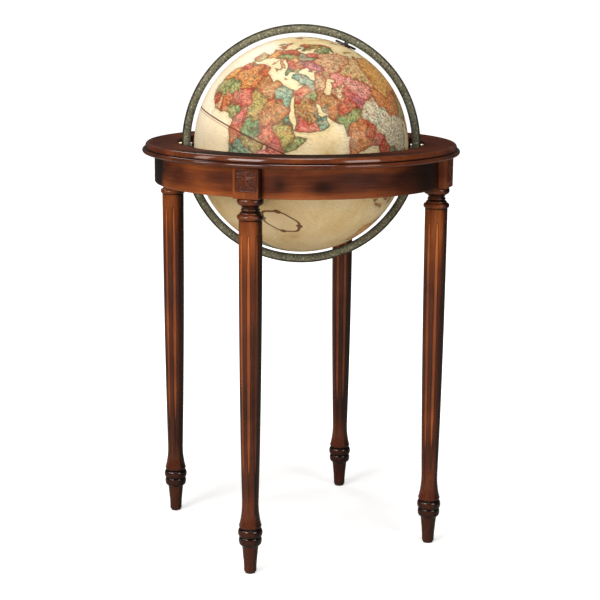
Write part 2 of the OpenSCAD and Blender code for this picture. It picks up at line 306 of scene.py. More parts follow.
def pewter():
    """Antiqued pewter: a dark patina that is rubbed pale on whatever stands high."""
    s = Shader("antique_pewter")
    place = s.position()
    patina = s.noise(place, 260, 6, 0.65, 0.5)
    patches = s.noise(place, 46, 3, 0.5)
    height = s.attribute("height")
    tone = s.math("ADD", height, s.swing(patina, 0.75))
    tone = s.math("ADD", tone, s.swing(patches, 0.4), clamp=True)
    colour = s.ramp(tone, [
        (0.0, srgb(30, 27, 22)), (0.25, srgb(64, 61, 50)), (0.5, srgb(112, 110, 90)),
        (0.75, srgb(158, 156, 130)), (1.0, srgb(204, 200, 176))])
    roughness = s.step(patina, 0.2, 0.8, 0.42, 0.62)
    relief = s.bump(patina, 0.35, 0.0002)
    return s.finish(
        Base_Color=colour, Metallic=0.55, Roughness=roughness, Normal=relief, Specular_IOR_Level=0.4)


def dial_bronze(name, dark, light, metallic=0.6):
    """Brushed and worn bronze."""
    s = Shader(name)
    wear = s.noise(s.position(), 300, 5, 0.6)
    brushed = s.noise(s.scaled(s.position(), (60, 900, 60)), 1, 3, 0.5)
    colour = s.ramp(wear, [(0.3, dark), (0.7, light)])
    roughness = s.step(brushed, 0.2, 0.8, 0.3, 0.5)
    return s.finish(
        Base_Color=colour, Metallic=metallic, Roughness=roughness,
        Normal=s.bump(brushed, 0.15, 0.0001))


def metal(name, dark, light, rough):
    """Plated steel or brass: fine turning marks, stains and small bright rubs."""
    s = Shader(name)
    stains = s.noise(s.position(), 140, 5, 0.6)
    marks = s.noise(s.scaled(s.position(), (900, 900, 300)), 1, 3, 0.6)
    colour = s.ramp(stains, [(0.3, dark), (0.65, light)])
    roughness = s.step(marks, 0.25, 0.75, rough - 0.08, rough + 0.12)
    return s.finish(
        Base_Color=colour, Metallic=1.0, Roughness=roughness, Normal=s.bump(marks, 0.15, 0.00008))


def moulded_nylon():
    """Scuffed dark nylon."""
    s = Shader("glide_nylon")
    scuffs = s.noise(s.position(), 420, 5, 0.7)
    colour = s.ramp(scuffs, [(0.3, srgb(38, 30, 26)), (0.8, srgb(74, 62, 54))])
    roughness = s.step(scuffs, 0.3, 0.8, 0.4, 0.66)
    return s.finish(Base_Color=colour, Roughness=roughness, Normal=s.bump(scuffs, 0.3, 0.0001))


def pulp_board():
    """Bare pressed board, as inside the ball."""
    s = Shader("pulp_board")
    pulp = s.noise(s.position(), 700, 4, 0.7)
    colour = s.ramp(pulp, [(0.3, srgb(150, 128, 98)), (0.7, srgb(186, 164, 130))])
    return s.finish(Base_Color=colour, Roughness=0.85, Normal=s.bump(pulp, 0.4, 0.0003))


def globe_map():
    """Antique map: tinted lands with deeper edges, brown coasts and borders, cream sea."""
    s = Shader("globe_map")
    place = s.position()
    print_noise = s.noise(place, 330, 5, 0.7)
    fine = s.swing(print_noise, 0.9)
    coast = s.math("ADD", s.attribute("coast"), fine)
    border = s.math("ADD", s.attribute("border"), s.math("MULTIPLY", fine, 0.7))
    land = s.step(coast, -0.1, 0.1)

    stains = s.noise(place, 14, 5, 0.6, 0.5)
    flecks = s.noise(place, 900, 3, 0.8)
    sea = s.ramp(stains, [
        (0.28, srgb(214, 180, 120)), (0.42, srgb(236, 208, 152)), (0.58, srgb(246, 224, 178)),
        (0.75, srgb(248, 226, 198))])
    sea = s.mix(s.attribute("wash"), sea, srgb(252, 238, 214))
    # painted shade: the sea darkens to ochre towards the south, where the horizon ring shades the ball
    sea = s.mix(s.attribute("painted_rim_shadow"), sea, srgb(206, 170, 108))
    shallows = s.step(s.attribute("coast"), -2.6, -0.3)
    sea = s.over(sea, srgb(190, 180, 130), shallows, 0.4)

    tint = s.attribute("tint", "Color")
    washes = s.noise(place, 60, 5, 0.65, 0.6)
    pale = s.mix(s.step(washes, 0.25, 0.75, 0.0, 0.4), tint, srgb(242, 206, 140))
    deep = s.mix(0.8, tint, s.mix(1.0, tint, srgb(210, 150, 120), "MULTIPLY"))
    edge = s.step(border, 0.0, 1.5, 1.0, 0.0)
    shore = s.step(coast, 0.0, 1.3, 1.0, 0.0)
    ground = s.mix(s.math("MAXIMUM", edge, shore), pale, deep)
    ridges = s.noise(place, 230, 6, 0.75, 0.8)
    hills = s.step(ridges, 0.48, 0.58)
    shade = s.mix(1.0, deep, srgb(176, 136, 104), "MULTIPLY")
    ground = s.over(ground, shade, hills, 0.82)
    slopes = s.step(ridges, 0.45, 0.33)
    ground = s.over(ground, srgb(252, 222, 160), slopes, 0.36)
    faded = s.noise(place, 36, 4, 0.7, 0.6)
    ground = s.mix(s.step(faded, 0.52, 0.66, 0.0, 0.3), ground, srgb(248, 216, 172))
    moods = s.noise(place, 115, 4, 0.7, 0.4)
    ground = s.mix(s.step(moods, 0.51, 0.64, 0.0, 0.52), ground, srgb(108, 124, 84))
    ground = s.mix(s.step(moods, 0.47, 0.35, 0.0, 0.44), ground, srgb(208, 92, 62))
    names = lettering(s, 1.0)
    ground = s.over(ground, srgb(70, 36, 24), names, 0.8)

    colour = s.mix(land, sea, ground)
    coastal = s.math("MULTIPLY", s.step(s.attribute("coast"), -5.0, -2.5), lettering(s, 3.0))
    colour = s.over(colour, srgb(96, 70, 44), coastal, 0.5)
    marks = s.math("MULTIPLY", lettering(s, 5.0), s.math("SUBTRACT", 1.0, land))
    colour = s.over(colour, srgb(110, 112, 84), marks, 0.22)
    river_field = s.math("ABSOLUTE", s.math("SUBTRACT", s.noise(place, 48, 4, 0.6, 0.3), 0.5))
    rivers = s.math("MULTIPLY", s.step(river_field, 0.004, 0.012, 1.0, 0.0), land)
    colour = s.over(colour, srgb(84, 90, 80), rivers, 0.5)
    bounds_line = s.math("MULTIPLY", s.step(border, 0.14, 0.34, 1.0, 0.0), land)
    colour = s.over(colour, srgb(104, 52, 36), bounds_line, 0.5)
    coast_line = s.step(s.math("ABSOLUTE", coast), 0.1, 0.34, 1.0, 0.0)
    colour = s.over(colour, srgb(104, 70, 42), coast_line, 0.6)

    colour = graticule(s, colour)
    specks = s.step(flecks, 0.66, 0.74)
    colour = s.over(colour, srgb(130, 88, 50), specks, 0.22)
    relief = s.bump(s.math("MULTIPLY", ridges, land), 0.5, 0.0007)
    relief = s.bump(print_noise, 0.08, 0.0003, relief)
    roughness = s.step(stains, 0.2, 0.8, 0.42, 0.55)
    return s.finish(
        Base_Color=colour, Roughness=roughness, Normal=relief, Specular_IOR_Level=0.3,
        Coat_Weight=0.1, Coat_Roughness=0.22)


def lettering(s, shift):
    """Rows of tiny illegible marks, like place names seen from across a room."""
    uv = s.node("UVMap", {}, uv_map="degrees").outputs[0]
    rows = s.node("TexNoise", {"Vector": s.scaled(uv, (110, 210, 1), (shift, shift, 0)), "Scale": 1.0,
                               "Detail": 1.0}).outputs[0]
    marks = s.noise(s.scaled(uv, (1500, 900, 1), (shift, 0, 0)), 1, 2, 0.6)
    words = s.step(rows, 0.52, 0.58)
    return s.math("MULTIPLY", words, s.step(marks, 0.5, 0.56))


def graticule(s, colour):
    """Meridians and parallels every 15 degrees, the double equator line and a cartouche."""
    uv = s.node("UVMap", {}, uv_map="degrees").outputs[0]
    split = s.node("SeparateXYZ", {0: uv})
    turn = s.math("MULTIPLY", split.outputs[0], 360.0)
    lat = s.math("SUBTRACT", s.math("MULTIPLY", split.outputs[1], 180.0), 90.0)
    shrink = s.math("COSINE", s.math("RADIANS", lat))
    across = s.math("MULTIPLY", s.math("PINGPONG", turn, 7.5), shrink)
    meridians = s.step(across, 0.1, 0.26, 1.0, 0.0)
    parallels = s.step(s.math("PINGPONG", lat, 7.5), 0.1, 0.26, 1.0, 0.0)
    lines = s.math("MAXIMUM", meridians, parallels)
    colour = s.over(colour, srgb(120, 86, 50), lines, 0.12)
    equator = s.step(s.math("ABSOLUTE", lat), 0.28, 0.5, 1.0, 0.0)
    twin = s.step(s.math("ABSOLUTE", s.math("ADD", lat, 1.25)), 0.16, 0.36, 1.0, 0.0)
    colour = s.over(colour, srgb(84, 30, 22), equator, 0.88)
    colour = s.over(colour, srgb(150, 70, 50), twin, 0.5)
    return cartouche(s, colour, turn, lat)


def cartouche(s, colour, turn, lat):
    """A scalloped oval frame in the southern Indian Ocean, left blank inside."""
    east, south, half_w, half_h = 58.0, 37.4, 10.6, 6.3
    shrink = 0.79   # how much narrower a degree of longitude is that far south
    x = s.math("MULTIPLY", s.math("SUBTRACT", turn, east), shrink / half_w)
    y = s.math("DIVIDE", s.math("ADD", lat, south), half_h)
    radius = s.math("SQRT", s.math("ADD", s.math("POWER", x, 2.0), s.math("POWER", y, 2.0)))
    angle = s.math("ARCTAN2", y, x)
    scallop = s.math("MULTIPLY", s.math("SINE", s.math("MULTIPLY", angle, 6.0)), 0.035)
    gap = s.math("ABSOLUTE", s.math("SUBTRACT", s.math("ADD", radius, scallop), 1.0))
    swell = s.step(s.math("SINE", s.math("MULTIPLY", angle, 4.0)), 0.72, 1.0, 0.0, 0.1)
    line = s.step(s.math("SUBTRACT", gap, swell), 0.05, 0.1, 1.0, 0.0)
    field = s.step(radius, 0.9, 0.97, 1.0, 0.0)
    colour = s.over(colour, srgb(250, 226, 184), field, 0.35)
    return s.over(colour, srgb(98, 46, 26), line, 0.9)


# ---------- camera, light and floor ----------

def make_camera():
    """The photograph's viewpoint: at eye height for someone seated, a little above the rim."""
    pitch = math.radians(11.71)
    roll = math.radians(0.43)
    forward = Vector((0, math.cos(pitch), -math.sin(pitch)))
    level = Vector((1, 0, 0))
    upright = level.cross(forward)
    right = math.cos(roll) * level + math.sin(roll) * upright
    up = math.cos(roll) * upright - math.sin(roll) * level
    camera = bpy.data.objects.new("camera", bpy.data.cameras.new("camera"))
    camera.data.sensor_width = 36
    camera.data.lens = 90.85
    turn = Matrix((right, up, -forward)).transposed()
    eye = (0, -2.880, 1.0568)
    camera.matrix_world = Matrix.Translation(eye) @ turn.to_4x4()
    bpy.context.scene.collection.objects.link(camera)
    bpy.context.scene.camera = camera


def area_light(name, place, target, size, watts, colour=(1, 1, 1), mirrored=True):
    """A soft rectangular light aimed at a target; mirrored says whether gloss shows it."""
    lamp = bpy.data.lights.new(name, "AREA")
    lamp.shape = "RECTANGLE"
    lamp.size, lamp.size_y = size
    lamp.energy = watts
    lamp.color = colour
    holder = bpy.data.objects.new(name, lamp)
    holder.location = place
    holder.rotation_euler = (Vector(target) - Vector(place)).to_track_quat("-Z", "Y").to_euler()
    holder.visible_glossy = mirrored
    bpy.context.scene.collection.objects.link(holder)


def make_studio():
    """A soft key light and five weaker ones; the surround looks white but adds little light."""
    world = bpy.data.worlds.new("studio")
    world.use_nodes = True
    nodes, links = world.node_tree.nodes, world.node_tree.links
    nodes.clear()
    seen = nodes.new("ShaderNodeBackground")
    seen.inputs[0].default_value = (1, 1, 1, 1)
    seen.inputs[1].default_value = 1.1
    lit = nodes.new("ShaderNodeBackground")
    lit.inputs[0].default_value = (1, 0.98, 0.95, 1)
    lit.inputs[1].default_value = 0.06
    path = nodes.new("ShaderNodeLightPath")
    mix = nodes.new("ShaderNodeMixShader")
    out = nodes.new("ShaderNodeOutputWorld")
    links.new(path.outputs["Is Camera Ray"], mix.inputs[0])
    links.new(lit.outputs[0], mix.inputs[1])
    links.new(seen.outputs[0], mix.inputs[2])
    links.new(mix.outputs[0], out.inputs[0])
    bpy.context.scene.world = world
    area_light("key", (-2.1, -2.5, 2.1), (0, 0, 0.7), (1.5, 1.5), 76, (1, 0.985, 0.96))
    area_light("side", (-3.0, -0.9, 1.8), (0, 0, 0.6), (0.7, 1.8), 20, (1, 0.985, 0.96))
    area_light("fill", (2.3, -2.4, 1.6), (0, 0, 0.7), (1.5, 1.5), 40)
    area_light("top", (0, -0.6, 3.6), (0, 0, 0.4), (1.4, 1.4), 50)
    area_light("under", (-0.2, -2.3, 0.3), (0, 0, 0.64), (2.2, 0.5), 15, (1, 0.96, 0.88), False)
    area_light("behind", (-1.4, 2.6, 3.4), (0, 0, 0.5), (1.2, 1.2), 22)
    bpy.context.scene.view_settings.view_transform = "Standard"


def make_floor():
    """A plain pale floor that brightens to white away from the object."""
    s = Shader("pale_floor")
    specks = s.noise(s.position(), 30, 4, 0.6)
    colour = s.ramp(specks, [(0.3, (0.9, 0.9, 0.9, 1)), (0.7, (0.94, 0.94, 0.94, 1))])
    away = s.node("VectorMath", {0: s.position()}, operation="LENGTH").outputs["Value"]
    seen = s.node("LightPath", {}).outputs["Is Camera Ray"]
    lift = s.math("MULTIPLY", s.step(away, 0.2, 1.5, 0.5, 1.1), seen)
    colour = s.mix(seen, (0.42, 0.38, 0.33, 1), colour)
    material = s.finish(
        Base_Color=colour, Roughness=0.9, Specular_IOR_Level=0.1,
        Emission_Color=(1, 1, 1, 1), Emission_Strength=lift)
    rings, spokes = [0.4, 1.2, 4.0, 14.0, 60.0, 260.0], 96
    points = [(0, 0, 0)]
    for r in rings:
        turns = np.linspace(0, 2 * np.pi, spokes, False)
        points += [(r * math.cos(a), r * math.sin(a), 0) for a in turns]
    faces = [(0, 1 + j, 1 + (j + 1) % spokes) for j in range(spokes)]
    faces += [tuple(1 + i for i in face) for face in quads(len(rings), spokes, True)]
    mesh_piece("floor", points, faces, material)


# ---------- horizon ring ----------

def rim_profile():
    """The ring's section in millimetres: rounded inner edge, ovolo, groove and lower bead."""
    r_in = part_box("pivot_washers")[1].x / MM + 0.55
    r, top, low = RIM_R / MM, RIM_TOP / MM, RIM_BOTTOM / MM
    bead = 4.4
    step = low + 2 * bead
    flat = [(r_in + 2 + k * (r - 10.5 - r_in - 2) / 10, top) for k in range(11)]
    under = [(r_in + k * (r - bead - r_in) / 8, low) for k in range(8)]
    outline = under + arc(r - bead, low + bead, bead, bead, -90, 72, 16)
    outline += [(r - 7.0, step - 0.5), (r - 6.7, step + 0.3), (r - 5.6, step + 1)]
    outline += arc(r - 10.5, step + 1, 5, top - step - 1, 6, 90, 14)
    outline += flat[-2:0:-1]
    return outline + arc(r_in + 2, top - 2, 2, 2, 90, 180, 6)


def horizon_ring(material):
    """The rim, jointed from six boards whose grain runs straight through each."""
    profile = rim_profile()
    spokes = 360
    points = []
    for r, z in profile:
        for j in range(spokes):
            a = 2 * math.pi * j / spokes
            points.append((r * MM * math.cos(a), r * MM * math.sin(a), z * MM))
    piece = mesh_piece("horizon_ring_turned", points, hoop(len(profile), spokes), material)
    corners, owner = corners_of(piece)
    places = points_of(piece)[corners]
    middles = np.zeros((len(piece.data.polygons), 3))
    np.add.at(middles, owner, places)
    boards, first_joint = 6, 0.35
    turn = (np.arctan2(middles[:, 1], middles[:, 0]) + first_joint) % (2 * np.pi)
    board = np.floor(turn / (2 * np.pi / boards)).astype(int)[owner]
    middle = (board + 0.5) * 2 * np.pi / boards - first_joint
    along = -np.sin(middle) * places[:, 0] + np.cos(middle) * places[:, 1]
    across = np.cos(middle) * places[:, 0] + np.sin(middle) * places[:, 1]
    grain = np.stack([along + 0.7 * board, across + 0.31 * board, places[:, 2]], 1)
    store(piece, "grain", grain, "CORNER")
    spots = points_of(piece)
    radius = np.hypot(spots[:, 0], spots[:, 1]) / MM
    height = spots[:, 2] / MM - RIM_BOTTOM / MM
    top = smooth(292.5, 288.0, radius) * smooth(17, 18.6, height)
    front = top * smooth(-0.12, -0.24, spots[:, 1])
    # painted shade: darker on the flat top, more so at its front, and low down under the lower bead
    tone_and_painted_light = 0.5 - 0.12 * top - 0.12 * front - 0.08 * bell(height, 4, 4)
    groove = bell(height, 8.9, 1.3) * smooth(292, 294.5, radius)
    inside = smooth(236, 233, radius)
    store(piece, "tone_and_painted_light", tone_and_painted_light)
    # painted shade: dark in the groove, on the inner wall facing the ball and on the front of the flat
    # top
    store(piece, "glaze_and_painted_shade", np.clip(0.95 * groove + 0.6 * inside + 0.08 * top + 0.5 * front, 0, 1))
    store(piece, "dull", 0.9 * top + 0.1 * front)
    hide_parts("horizon_ring")
    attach(piece, "stand")


# ---------- aprons and corner blocks ----------

def apron_profile():
    """Section of an apron in millimetres, with eased lower edges."""
    r0, r1, low, top = APRON_IN / MM, APRON_OUT / MM, BLOCK_Z / MM, RIM_BOTTOM / MM
    ease = 1.6
    sides = [low + ease + k * (top - low - ease) / 14 for k in range(1, 15)]
    outline = arc(r0 + ease, low + ease, ease, ease, 180, 270, 4)
    outline += arc(r1 - ease, low + ease, ease, ease, 270, 360, 4)
    outline += [(r1, z) for z in sides] + [(r0, z) for z in reversed(sides)]
    return outline


def apron(i, material):
    """A curved rail whose ends lie flat against the corner blocks."""
    profile = apron_profile()
    spans = 120
    start, end = LEG_ANGLES[i], LEG_ANGLES[i] + math.pi / 2
    points = []
    for k in range(spans + 1):
        for r, z in profile:
            inset = math.asin(BLOCK_W / 2 / (r * MM))
            a = start + inset + (end - start - 2 * inset) * k / spans
            eased = r - (1.3 if k in (0, spans) and r > APRON_OUT / MM - 1 else 0)
            points.append((eased * MM * math.cos(a), eased * MM * math.sin(a), z * MM))
    size = len(profile)
    faces = quads(spans + 1, size, True) + end_caps(size, len(points))
    piece = mesh_piece(f"apron_{APRONS[i]}_rail", points, faces, material)
    spots = points_of(piece)
    a = (np.arctan2(spots[:, 1], spots[:, 0]) - start) % (2 * np.pi)
    height = (spots[:, 2] - BLOCK_Z) / (RIM_BOTTOM - BLOCK_Z)
    radius = np.hypot(spots[:, 0], spots[:, 1])
    store(piece, "grain", np.stack([a * APRON_OUT + i * 0.83, radius, spots[:, 2] + i * 0.17], 1))
    t = a / (math.pi / 2)
    # lighter towards the bottom edge; the lift along the top is painted light where the rim's overhang
    # casts its shadow
    tone_and_painted_light = 0.47 - 0.1 * smooth(0.15, 0.6, height) + 0.2 * smooth(0.34, 0.05, height)
    tone_and_painted_light += 0.26 * smooth(0.62, 0.95, height)
    smudges = sum(bell(t, at, w) * bell(height, h, 0.3) * f for at, w, h, f in APRON_SMUDGES[i])
    # painted shade, darkening towards the ends that face away from the lamps
    ends = sum(dark * smooth(clear, full, t) for dark, clear, full in APRON_PAINTED_END_SHADE[i])
    store(piece, "tone_and_painted_light", tone_and_painted_light)
    store(piece, "glaze_and_painted_shade", np.clip(smudges + ends, 0, 1))
    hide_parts(f"apron_{APRONS[i]}")
    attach(piece, "stand")


# Burnished marks on each apron: place along it, width, height and darkness
APRON_SMUDGES = [
    [(0.13, 0.035, 0.45, 0.7), (0.30, 0.07, 0.4, 0.8), (0.42, 0.05, 0.75, 0.3)],
    [(0.4, 0.06, 0.4, 0.5), (0.7, 0.05, 0.5, 0.4)],
    [(0.3, 0.05, 0.5, 0.5), (0.62, 0.07, 0.4, 0.5)],
    [(0.5, 0.06, 0.7, 0.35), (0.72, 0.05, 0.6, 0.2)]]
# Painted shade towards the ends, where each apron turns away from the lamps: darkness, and the places
# along the apron where it starts and is full
APRON_PAINTED_END_SHADE = [
    [(0.9, 0.45, 0.85)], [(0.5, 0.3, 0.03), (0.4, 0.7, 0.97)],
    [(0.4, 0.3, 0.03), (0.5, 0.7, 0.97)], [(0.97, 0.52, 0.44)]]


def block_section(width, ease, pocket, depth):
    """One level of a corner block: points round a square, with a pocket in the outer side."""
    half = width / 2
    lip, margin = 0.05, 2.2
    stops = [-half + ease, -pocket - margin, -pocket - lip, -pocket, -10, 0, 10]
    stops += [pocket, pocket + lip, pocket + margin]
    outer = []
    for side in range(4):
        turn = math.radians(90 * side)
        cos, sin = math.cos(turn), math.sin(turn)
        for y in stops:
            x = half - (depth if side == 0 and abs(y) <= pocket else 0)
            outer.append((x * cos - y * sin, x * sin + y * cos))
        for k in range(4):
            a = turn + math.radians(90 * k / 4)
            c = math.sqrt(2) * (half - ease)
            cx, cy = c * math.cos(turn + math.pi / 4), c * math.sin(turn + math.pi / 4)
            outer.append((cx + ease * math.cos(a), cy + ease * math.sin(a)))
    return outer


def block_place(i):
    """The frame of a corner block: its X points outwards from the globe's axis."""
    return Matrix.Rotation(LEG_ANGLES[i], 4, "Z") @ Matrix.Translation((LEG_CIRCLE, 0, 0))


def corner_block(i, material):
    """A square block with eased corners and a pocket for its plaque."""
    low, top, width = BLOCK_Z / MM, RIM_BOTTOM / MM, BLOCK_W / MM
    plaque_low, plaque_high = (corner.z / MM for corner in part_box(f"carved_plaque_{LEGS[i]}"))
    pocket = (plaque_high - plaque_low) / 2
    levels = [(low, 1.1, 0), (low + 0.3, 0.5, 0), (low + 1.1, 0, 0)]
    levels += [(z, 0, 0) for z in np.linspace(low + 3, plaque_low - 0.05, 6)]
    levels += [(z, 0, 2.4) for z in np.linspace(plaque_low, plaque_high, 12)]
    levels += [(z, 0, 0) for z in (plaque_high + 0.05, (plaque_high + top) / 2, top)]
    points = []
    for z, inset, depth in levels:
        points += [(x, y, z) for x, y in block_section(width - 2 * inset, 1.3, pocket, depth)]
    size = len(points) // len(levels)
    faces = quads(len(levels), size, True) + end_caps(size, len(points))
    place = block_place(i)
    local = np.array(points) * MM
    world = [place @ Vector(p) for p in local]
    piece = mesh_piece(f"corner_block_{LEGS[i]}_eased", world, faces, material, 25)
    store(piece, "grain", np.stack([local[:, 2] + 0.41 * i, local[:, 0] + 0.23 * i, local[:, 1]], 1))
    height = (local[:, 2] - BLOCK_Z) / (RIM_BOTTOM - BLOCK_Z)
    # painted shade: one side face is darkened as the side turned from the lamps, and the top just under
    # the rim is darkened
    side = smooth(0.93, 0.985, local[:, 1] / (BLOCK_W / 2))
    store(piece, "tone_and_painted_light", 0.6 - 0.2 * smooth(0.15, 0.5, height))
    store(piece, "glaze_and_painted_shade", np.clip(0.2 * smooth(0.9, 1.0, height) + 0.95 * side, 0, 1))
    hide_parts(f"corner_block_{LEGS[i]}")
    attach(piece, "stand")


def scroll(centre, start, turns, r0, r1, steps=26):
    """A spiral line from radius r0 to r1, for the carving."""
    line = []
    for k in range(steps + 1):
        t = k / steps
        a = start + turns * 2 * math.pi * t
        r = r0 + (r1 - r0) * t
        line.append((centre[0] + r * math.cos(a), centre[1] + r * math.sin(a)))
    return line


# Leaves of the carving: the angle where each starts, how far it bends and how long it is
LEAVES = [
    (78, -0.5, 0.5), (118, 0.5, 0.42), (158, 0.35, 0.3), (205, 0.4, 0.55), (238, 0.3, 0.85),
    (268, -0.25, 0.8), (300, 0.3, 0.95), (326, -0.3, 0.9), (352, 0.35, 0.85), (18, -0.3, 0.85),
    (46, 0.3, 0.8)]
HEART = (-0.3, 0.2)   # the middle of the flower


def carving_height(u, v):
    """Height of the carved panel at (u, v), from -1 to 1 each way, in millimetres."""
    height = -0.85 + 0.26 * np.sin(u * 41 + 2 * np.sin(v * 33)) * np.sin(v * 37 + 2 * np.sin(u * 29))
    strokes = [(scroll(HEART, 2.4, 1.5, 0.05, 0.3), 0.05, 0.95)]
    for start, bend, reach in LEAVES:
        a = math.radians(start)
        leaf = []
        for t in np.linspace(0, 1, 14):
            turn = a + bend * t
            r = 0.34 + reach * t
            leaf.append((HEART[0] + r * math.cos(turn), HEART[1] + r * math.sin(turn)))
        curl = 0.55 if bend > 0 else -0.55
        strokes.append((leaf, 0.1, 0.75))
        strokes.append((scroll(leaf[-1], turn + 1.2, curl, 0.03, 0.15, 12), 0.06, 0.7))
    for line, width, rise in strokes:
        near = np.full(u.shape, 9.0)
        for x, y in line:
            near = np.minimum(near, np.hypot(u - x, v - y))
        height = np.maximum(height, -1.0 + rise * np.sqrt(np.clip(1 - (near / width) ** 2, 0, 1)) * 1.3)
    across, up = u - HEART[0], v - HEART[1]
    r = np.hypot(across, up)
    petal = 0.2 + 0.05 * np.abs(np.cos(2.5 * np.arctan2(up, across)))
    height = np.maximum(height, -1.25 + 1.2 * np.sqrt(np.clip(1 - (r / petal) ** 2, 0, 1)))
    edge = np.maximum(np.abs(u), np.abs(v))
    groove = smooth(0.88, 0.91, edge)
    frame_line = smooth(0.925, 0.945, edge)
    height = height * (1 - groove) - 0.7 * groove
    return height * (1 - frame_line)


def carved_plaque(i, material):
    """A square panel with a framed floral scroll in relief."""
    low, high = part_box(f"carved_plaque_{LEGS[i]}")
    half = (high.z - low.z) / 2
    middle_z = (low.z + high.z) / 2
    steps = 150
    face_x = BLOCK_W / 2 + 0.5 * MM
    thick = 2.6 * MM
    v, u = np.meshgrid(np.linspace(-1, 1, steps), np.linspace(-1, 1, steps), indexing="ij")
    height = carving_height(u, v) * MM
    front = np.stack([face_x + height, u * half, middle_z + v * half], -1).reshape(-1, 3)
    rim = list(range(steps)) + [k * steps + steps - 1 for k in range(1, steps)]
    rim += [(steps - 1) * steps + k for k in range(steps - 2, -1, -1)]
    rim += [k * steps for k in range(steps - 2, 0, -1)]
    back = front[rim].copy()
    back[:, 0] = face_x - thick
    points = np.concatenate([front, back])
    faces = quads(steps, steps, False)
    base, count = steps * steps, len(rim)
    faces += [(rim[k], rim[(k + 1) % count], base + (k + 1) % count, base + k) for k in range(count)]
    faces.append(tuple(range(base, base + count)))
    place = block_place(i)
    world = [place @ Vector(p) for p in points]
    piece = mesh_piece(f"carved_plaque_{LEGS[i]}_relief", world, faces, material, 50)
    store(piece, "grain", np.stack([points[:, 2] + 0.41 * i, points[:, 1] + 0.13 * i, points[:, 0]], 1))
    depth = np.concatenate([height.ravel(), np.full(count, -thick)]) / MM
    # lighter on the raised carving and darker on the deep ground: tone together with painted shade that
    # follows the depth
    store(piece, "tone_and_painted_light", 0.34 + 0.16 * smooth(-0.8, 0.1, depth))
    store(piece, "glaze_and_painted_shade", 0.2 * smooth(-0.55, -1.0, depth))
    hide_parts(f"carved_plaque_{LEGS[i]}")
    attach(piece, "stand")


# ---------- legs ----------

ANKLE_Z, SHAFT_TOP, FLARE_Z = 136, 655, 93
SHAFT_D, ANKLE_D, FLARE_R = 42, 30.5, 20.3
FLUTES, FLUTE_R, FLUTE_DEPTH, FLUTE_LOW, FLUTE_HIGH = 8, 5, 1.2, 112, 627
# Where each leg stopped when it was screwed in, as the angle of one flute from the front
LEG_STOP = [-8.5, 2.4, 18, 6.5]
# Hollows between the turned beads, darkened with glaze and painted shade: height and width
LEG_HOLLOWS = [
    (54.5, 2.4), (70.5, 1.8), (86.5, 1.6), (655.2, 1.6), (670.5, 2.6), (676.8, 2.2), (681.8, 1.6)]


def shaft_radius(z):
    """Radius of the tapered shaft at a height."""
    return (SHAFT_D - (SHAFT_D - ANKLE_D) * max(0, 1 - (z - ANKLE_Z) / (SHAFT_TOP - ANKLE_Z)) ** 2.4) / 2


def flare_radius(z):
    """Radius where the leg swells out below the ankle."""
    return ANKLE_D / 2 + (FLARE_R - ANKLE_D / 2) * ((ANKLE_Z - z) / (ANKLE_Z - FLARE_Z)) ** 2.2


def leg_outline():
    """Section of a turned leg from the glide to the block, in millimetres."""
    foot = 23 / 2
    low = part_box("foot_glides")[0].z / MM + 3
    top = BLOCK_Z / MM
    outline = [(0.01, low), (foot - 1.2, low), (foot - 0.4, low + 0.4), (foot, low + 1.2)]
    outline += [(11.6, 10), (11.9, 17), (12.4, 24), (13.1, 32), (13.9, 40), (14.5, 47)]
    outline += [(15.1, 51), (16.8, 54)]
    outline += bulge(55, 70.4, 18.2, 18.7, 21.1, 16)
    outline += bulge(70.5, 86.3, 18.7, 18.4, 22.5, 16)
    outline += bulge(86.4, FLARE_Z, 18.4, FLARE_R, 20.4, 6)
    outline += [(flare_radius(z), z) for z in range(96, ANKLE_Z, 3)]
    outline += [(shaft_radius(z), z) for z in range(ANKLE_Z, 606, 8)]
    outline += [(shaft_radius(z), z) for z in np.arange(608, 634, 0.8)]
    outline += [(shaft_radius(z), z) for z in (636, 642, 648, 653, 654.6, SHAFT_TOP)]
    outline += bulge(655.5, 665, 20.4, 20.2, 24.2, 14)
    outline += bulge(665.1, 668.5, 18.6, 18.4, 19.4, 6)
    outline += [(16.6, 670.2), (15.8, 671)]
    outline += bulge(671.2, 675, 15.8, 15.8, 17, 8)
    outline += [(15.3, 676), (15.4, 677.5), (16.6, 679.2), (19.4, 681.6)]
    outline += bulge(682, top, 20.4, 20.6, 23.9, 16)
    return outline + [(0.01, top)]


def flute_axis(z):
    """Distance of the flute cutter's axis from the leg's, as the cutter leans with the shaft."""
    lean = (shaft_radius(FLUTE_HIGH) - shaft_radius(200)) / (FLUTE_HIGH - 200)
    return shaft_radius(FLUTE_HIGH) + FLUTE_R - FLUTE_DEPTH - (FLUTE_HIGH - z) * lean


def leg_ring(r, z):
    """One level of a leg: (radius, angle, depth of flute from 0 to 1) round the axis."""
    in_flute, in_land = 11, 7
    cut = 0.0
    axis = flute_axis(z)
    if FLUTE_LOW < z < FLUTE_HIGH + FLUTE_R:
        cut = math.sqrt(FLUTE_R ** 2 - max(0, z - FLUTE_HIGH) ** 2)
    fade = float(smooth(FLUTE_LOW, FLUTE_LOW + 26, z))
    half = 0.05
    if cut and axis - cut < r:
        half = max(half, math.acos(min(1, (r * r + axis * axis - cut * cut) / (2 * r * axis))))
    ring = []
    for k in range(FLUTES):
        middle = 2 * math.pi * k / FLUTES
        for j in range(in_flute):
            a = half * (2 * j / (in_flute - 1) - 1)
            inside = cut * cut - (axis * math.sin(a)) ** 2
            floor = axis * math.cos(a) - math.sqrt(inside) if inside > 0 else r
            sunk = max(0.0, r - floor) * fade
            ring.append((r - sunk, middle + a, sunk / FLUTE_DEPTH))
        land = 2 * math.pi / FLUTES - 2 * half
        for j in range(1, in_land):
            ring.append((r, middle + half + land * j / in_land, 0.0))
    return ring


